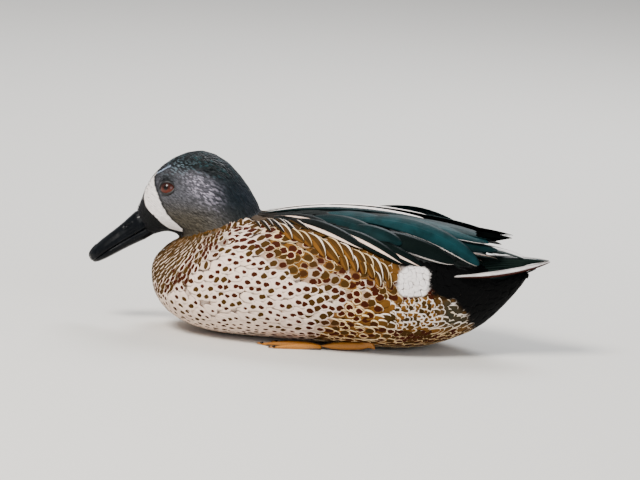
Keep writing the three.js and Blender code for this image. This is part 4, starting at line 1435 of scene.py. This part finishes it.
class TEAL_OT_tail(bpy.types.Operator):
    """Lays the tail feathers and the coverts over their roots"""

    bl_idname = "teal.tail"
    bl_label = "Tail"

    def execute(self, context):
        material = long_feather_material("tail_feather_keratin", gloss=0.1, roughness=0.5)
        vane = Vane(around=8, steps=18, tip=0.22, arch=0.10, crowd=0.5)
        count = TAIL["feathers"]
        specs = [
            (tail_feather((2 * i + 1) / (count - 1)), TAIL["width"], "tail" if i else "tail_crest")
            for i in range(count // 2)
        ]
        specs.append(TAIL_EDGE)

        def droop(line):
            """The ways that the tail's feathers face, leaning outwards towards its edges."""
            lean = np.clip(line[:, :1] / TAIL["half"][0], 0, 1) * TAIL["lean"]
            return np.concatenate([np.sin(lean), np.zeros_like(lean), np.cos(lean)], axis=1)

        blades("tail_feathers", specs, vane, droop, material, "tail_feathers", "tail")
        coverts = []
        for side, start, end in TAIL_COVERTS:
            lower = 0.10 * side ** 1.5
            line = ((side, start, 69 - lower), (side * 1.05, (start + end) / 2, 68.6 - lower),
                    (side * 0.8, end, 66.8 - 1.5 * lower))
            coverts.append((line, 9.5, "covert"))
        coverts += SINGLE_COVERTS
        for side, low in UNDERTAIL:
            line = ((side, 98, 53 - low), (side * 0.85, 122, 57 - low),
                    (side * 0.55, 146 - 1.6 * side, 60.5 - 0.35 * low))
            coverts.append((line, 9.0, "undertail"))
        coverts += LOWEST_COVERTS
        vane = Vane(around=8, steps=18, tip=0.6, arch=0.10, crowd=0.5)
        blades("tail_coverts", coverts, vane, droop, material, "tail_feathers")
        return finished(self, "Tail")


BILL = {"base": (-115.8, 66.0), "drop": math.radians(36.5)}  # where it starts, as (aft, up), and its slope
NOSTRIL = {"forward": 9.5, "up": 4.6, "long": 2.6, "high": 0.95, "deep": 1.1, "rim": 0.25}
NAIL = {"forward": 39.0, "long": 4.6, "half": 3.0, "proud": 0.3, "groove": 0.15}
MOUTH_GROOVE = 0.12  # depth of the line just over the mouth
LOWER_BILL_WIDER = 1.1
BILL_FACE, WING_FACE, LEG_FACE = 0.42, 0.9, 0.5  # sizes of the faces of bare or hidden skin


def on_bill(co):
    """How far a point lies forward, up and to the side on the bill."""
    dy, dz = co.y / MM - BILL["base"][0], co.z / MM - BILL["base"][1]
    cos, sin = math.cos(BILL["drop"]), math.sin(BILL["drop"])
    return -dy * cos - dz * sin, -dy * sin + dz * cos, abs(co.x / MM)


def bump_at(distance, width):
    """1 at no distance, falling to nothing a few widths away."""
    return math.exp(-(distance / width) ** 2)


class TEAL_OT_bill(bpy.types.Operator):
    """Makes the smooth bill with its nostrils, its nail and the line of its mouth"""

    bl_idname = "teal.bill"
    bl_label = "Bill"

    def execute(self, context):
        colour = context.scene.teal_colours.bill
        material = horn_material("bill_horn", colour, roughness=0.3)
        for node, name, grow in (("bill_upper", "upper_bill", 0.38), ("bill_lower", "lower_bill", 0.95)):
            form = smoothed(remeshed(form_of([node], grow), BILL_FACE), rounds=6)
            for vertex in form.verts:
                if node == "bill_lower":
                    vertex.co.x *= LOWER_BILL_WIDER
                else:
                    vertex.co += vertex.normal * self.relief(*on_bill(vertex.co)) * MM
            form.normal_update()
            place_on_bird(piece_from(form, name), material, "bill_horn", node)
        return finished(self, "Bill")

    @staticmethod
    def relief(forward, up, side):
        """How far the upper bill stands out at its nostril, its nail and the line over its mouth."""
        move = 0.0
        if side > 2:
            to_hole = math.hypot((forward - NOSTRIL["forward"]) / NOSTRIL["long"],
                                 (up - NOSTRIL["up"]) / NOSTRIL["high"])
            rim = NOSTRIL["rim"] * bump_at(to_hole - 1.35, 0.35)
            move += rim - NOSTRIL["deep"] * bump_at(to_hole, 0.85)
        if up > -1.5:
            to_nail = math.hypot((forward - NAIL["forward"]) / NAIL["long"], side / NAIL["half"])
            nail = NAIL["proud"] * (1 - float(ease(0.85, 1.0, to_nail)))
            move += nail - NAIL["groove"] * bump_at(to_nail - 1.08, 0.08)
        return move - MOUTH_GROOVE * bump_at(up + 0.4, 0.45) * float(ease(4, 8, forward))


EYE_BALL = {"bulge": 0.35, "cornea": 3.2, "pupil": 1.6, "iris": 5.4}
EYE_WAY = (0.94, -0.25, 0.20)  # which way the left eye looks
# Rings of the eyelids: half width, half height and distance out from the middle of the eye, where None
# lies on the eyeball, by the gaps given under it.
LID_RINGS = ((4.9, 3.5, None), (5.1, 3.7, None), (5.35, 4.0, 4.65), (5.8, 4.55, 4.1), (6.8, 5.6, 2.6))
LID_GAPS = (-0.05, 0.25)
LID = {"corner": 0.16, "round": 0.028, "thick": 0.35}  # drawn in at the corners, curve and thickness


def eye_frame(side):
    """The eye's middle, and the ways outward, forward and up from it."""
    low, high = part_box("eye_" + side)
    sign = 1 if side == "left" else -1
    out = Vector((sign * EYE_WAY[0], *EYE_WAY[1:])).normalized()
    forward = Vector((0, -1, -0.16))
    forward = (forward - out * forward.dot(out)).normalized()
    up = out.cross(forward) * sign
    return (low + high) / 2 / MM, out, forward, up if up.z > 0 else -up, (high.z - low.z) / 2 / MM


class TEAL_OT_eyes(bpy.types.Operator):
    """Makes the eyeballs with iris and pupil, and the bare rims of the eyelids"""

    bl_idname = "teal.eyes"
    bl_label = "Eyes"

    def execute(self, context):
        ball_material = eye_material(context.scene.teal_colours.iris)
        lid_material = eyelid_material()
        for side in SIDES:
            middle, out, forward, up, radius = eye_frame(side)
            turn = Matrix((forward, up, out)).transposed()
            ball = bmesh.new()
            bmesh.ops.create_uvsphere(ball, u_segments=40, v_segments=28, radius=radius)
            for vertex in ball.verts:
                off_axis = math.hypot(vertex.co.x, vertex.co.y)
                if vertex.co.z > 0:
                    vertex.co *= 1 + EYE_BALL["bulge"] / radius * bump_at(off_axis, EYE_BALL["cornea"])
                vertex.co = (middle + turn @ vertex.co) * MM
            bmesh.ops.recalc_face_normals(ball, faces=ball.faces)
            piece = piece_from(ball, "eyeball_" + side)
            co = places_of(piece.data) - np.array(middle)
            flat = np.stack([co @ np.array(forward), co @ np.array(up)], axis=-1)
            front = (co @ np.array(out) > 0)[:, None]
            lay_map(piece.data, "eye", np.where(front, flat / EYE_MAP + 0.5, 0.0))
            place_on_bird(piece, ball_material, "eye", "eye_" + side)
            self.lids(side, lid_material)
        return finished(self, "Eyes")

    @staticmethod
    def lids(side, material):
        """The rims of one eye's lids, grown ring by ring from its opening."""
        middle, out, forward, up, radius = eye_frame(side)
        form = bmesh.new()
        rings = [bmesh.ops.create_circle(form, segments=48, radius=1.0)["verts"]]
        edges = form.edges[:]
        for _ in LID_RINGS[1:]:
            grown = bmesh.ops.extrude_edge_only(form, edges=edges)["geom"]
            edges = of_kind(grown, bmesh.types.BMEdge)
            rings.append(of_kind(grown, bmesh.types.BMVert))
        for level, (ring, (wide, high, far)) in enumerate(zip(rings, LID_RINGS)):
            for vertex in ring:
                angle = math.atan2(vertex.co.y, vertex.co.x)
                across = wide * math.cos(angle)
                rise = high * math.sin(angle) * (1 - LID["corner"] * abs(math.cos(angle)) ** 6)
                if far:
                    depth = far - LID["round"] * across ** 2 * (1 + 0.2 * level)
                else:
                    ball = radius + LID_GAPS[level]
                    depth = math.sqrt(max(ball ** 2 - across ** 2 - rise ** 2, 1.0))
                vertex.co = (middle + forward * across + up * rise + out * depth) * MM
        bmesh.ops.recalc_face_normals(form, faces=form.faces)
        if sum(face.normal.dot(out) for face in form.faces) < 0:
            bmesh.ops.reverse_faces(form, faces=form.faces)
        bmesh.ops.solidify(form, geom=form.faces, thickness=-LID["thick"] * MM)
        smoothed(form, rounds=1, factor=0.3)
        place_on_bird(piece_from(form, "eyelids_" + side), material, "head_feathers")


TOES = {"root": (42.5, 10.7, 2.4), "tips": ((34.5, -20.3, 1.2), (45, -28.3, 1.2), (55, -19.3, 1.2))}
CLAW = {"length": 4.6, "radius": 0.85, "tip": 0.12, "sunk": 1.2, "curl": 0.05, "over": 0.35}


class TEAL_OT_legs(bpy.types.Operator):
    """Makes the folded legs, the webbed feet and the claws"""

    bl_idname = "teal.legs"
    bl_label = "Legs"

    def execute(self, context):
        colours = context.scene.teal_colours
        skin = scaled_skin_material(colours.leg, colours.web)
        horn = horn_material("claw_horn", linear("1c1612"), roughness=0.4)
        for side in SIDES:
            sign = 1 if side == "left" else -1
            for node, name in (("leg_" + side, "bare_leg_" + side), ("foot_" + side, "webbed_foot_" + side)):
                form = smoothed(remeshed(form_of([node], grow=0.12), LEG_FACE), rounds=4)
                for vertex in form.verts:
                    vertex.co.z = max(vertex.co.z, 0.02 * MM)
                piece = piece_from(form, name)
                co = places_of(piece.data) * np.array([sign, 1, 1])
                off_toes = np.min([self.from_line(co, TOES["root"], tip) for tip in TOES["tips"]], axis=0)
                dusk = ease(1.6, 3.0, off_toes) if node.startswith("foot") else 0.15 * np.ones(len(co))
                paint(piece.data, "dusk", np.repeat(dusk[:, None], 3, axis=1))
                place_on_bird(piece, skin, "leg_skin", node)
            self.claws(side, sign, horn)
        return finished(self, "Legs")

    @staticmethod
    def from_line(points, start, end):
        """How far points are from the line between two places."""
        start, end = np.array(start, float), np.array(end, float)
        share = np.clip((points - start) @ (end - start) / ((end - start) @ (end - start)), 0, 1)
        return np.linalg.norm(points - start - share[:, None] * (end - start), axis=1)

    @staticmethod
    def claws(side, sign, material):
        """The three claws of one foot, each a cone laid along its toe and curled down."""
        form = bmesh.new()
        for tip in TOES["tips"]:
            made = bmesh.ops.create_cone(form, cap_ends=True, segments=10, radius1=CLAW["radius"],
                                         radius2=CLAW["tip"], depth=CLAW["length"])["verts"]
            ahead = unit((np.array(tip) - np.array(TOES["root"])) * np.array([1, 1, 0]))
            sideways = np.cross([0, 0, 1], ahead)
            for vertex in made:
                along = vertex.co.z + CLAW["length"] / 2 - CLAW["sunk"]
                height = np.array([0, 0, vertex.co.y - CLAW["curl"] * along ** 2 + CLAW["over"]])
                place = np.array(tip) + ahead * along + sideways * vertex.co.x + height
                vertex.co = Vector((sign * place[0], place[1], max(place[2], 0.05))) * MM
        bmesh.ops.recalc_face_normals(form, faces=form.faces)
        place_on_bird(piece_from(form, "claws_" + side), material, "leg_skin")


TARGET = (0, 0.36, 64.6)  # what the lamps and the camera point at
# Lamps: name, place in metres, size of the disk in metres, share of the key's power and colour.
LAMPS = (
    ("key", (1.1, -0.75, 1.55), 0.75, 1.0, (1.0, 0.965, 0.91)),
    ("fill", (1.6, 1.3, 0.7), 1.2, 0.25, (0.86, 0.92, 1.0)),
    ("rim", (-1.2, 0.2, 1.3), 0.9, 0.45, (0.95, 0.97, 1.0)),
)
CAMERA = {"distance": 4.0, "view_width": 0.4173, "sensor": 36.0}  # metres, metres and millimetres


class TEAL_OT_studio(bpy.types.Operator):
    """Sets the floor, the soft lights and the camera"""

    bl_idname = "teal.studio"
    bl_label = "Studio"

    def execute(self, context):
        studio = context.scene.teal_studio
        floor = bmesh.new()
        bmesh.ops.create_grid(floor, x_segments=2, y_segments=2, size=9.0)
        piece = piece_from(floor, "studio_floor", smooth=False)
        material, shader, _ = new_material("matt_floor_paint")
        feed(shader, {"Base Color": studio.floor, "Roughness": 0.9})
        piece.data.materials.append(material)

        world = bpy.data.worlds.new("studio_air")
        world.use_nodes = True
        background = world.node_tree.nodes["Background"]
        feed(background, {"Color": (0.93, 0.95, 1.0), "Strength": studio.sky})
        context.scene.world = world

        target = Vector(TARGET) * MM
        for name, place, size, share, colour in LAMPS:
            lamp = bpy.data.lights.new(name, "AREA")
            lamp.shape = "DISK"
            lamp.size = size
            lamp.energy = studio.key_power * share
            lamp.color = colour
            holder = put_in_scene(name, lamp)
            holder.location = place
            holder.rotation_euler = (target - holder.location).to_track_quat("-Z", "Y").to_euler()

        camera = bpy.data.cameras.new("camera")
        camera.sensor_width = CAMERA["sensor"]
        camera.lens = camera.sensor_width * CAMERA["distance"] / CAMERA["view_width"]
        holder = put_in_scene("camera", camera)
        turn, level = studio.azimuth - math.pi / 2, math.cos(studio.elevation)
        out = Vector((math.cos(turn) * level, math.sin(turn) * level, math.sin(studio.elevation)))
        facing = out.to_track_quat("Z", "Y").to_matrix().to_4x4() @ Matrix.Rotation(studio.roll, 4, "Z")
        holder.matrix_world = Matrix.Translation(target + out * CAMERA["distance"]) @ facing
        context.scene.camera = holder
        return finished(self, "Studio")


class TEAL_PT_panel(bpy.types.Panel):
    """Lists the steps that build the bird, and its settings"""

    bl_idname = "TEAL_PT_panel"
    bl_label = "Resting Teal Drake"
    bl_space_type = "VIEW_3D"
    bl_region_type = "UI"
    bl_category = "Teal"

    def draw(self, context):
        for operator in OPERATORS:
            self.layout.operator(operator.bl_idname)
        for group in (context.scene.teal_sizes, context.scene.teal_colours, context.scene.teal_studio):
            box = self.layout.box()
            for name in group.__annotations__:
                box.prop(group, name)


GROUPS = {"teal_sizes": TealSizes, "teal_colours": TealColours, "teal_studio": TealStudio}
OPERATORS = (
    TEAL_OT_skin,
    TEAL_OT_head_coat,
    TEAL_OT_body_coat,
    TEAL_OT_long_feathers,
    TEAL_OT_tail,
    TEAL_OT_bill,
    TEAL_OT_eyes,
    TEAL_OT_legs,
    TEAL_OT_studio,
)


def register():
    for cls in (*GROUPS.values(), *OPERATORS, TEAL_PT_panel):
        bpy.utils.register_class(cls)
    for name, group in GROUPS.items():
        setattr(bpy.types.Scene, name, bpy.props.PointerProperty(type=group))


def unregister():
    for name in GROUPS:
        delattr(bpy.types.Scene, name)
    for cls in reversed((*GROUPS.values(), *OPERATORS, TEAL_PT_panel)):
        bpy.utils.unregister_class(cls)


def main():
    register()
    for operator in OPERATORS:
        group, name = operator.bl_idname.split(".")
        getattr(getattr(bpy.ops, group), name)()


if __name__ == "__main__":
    main()
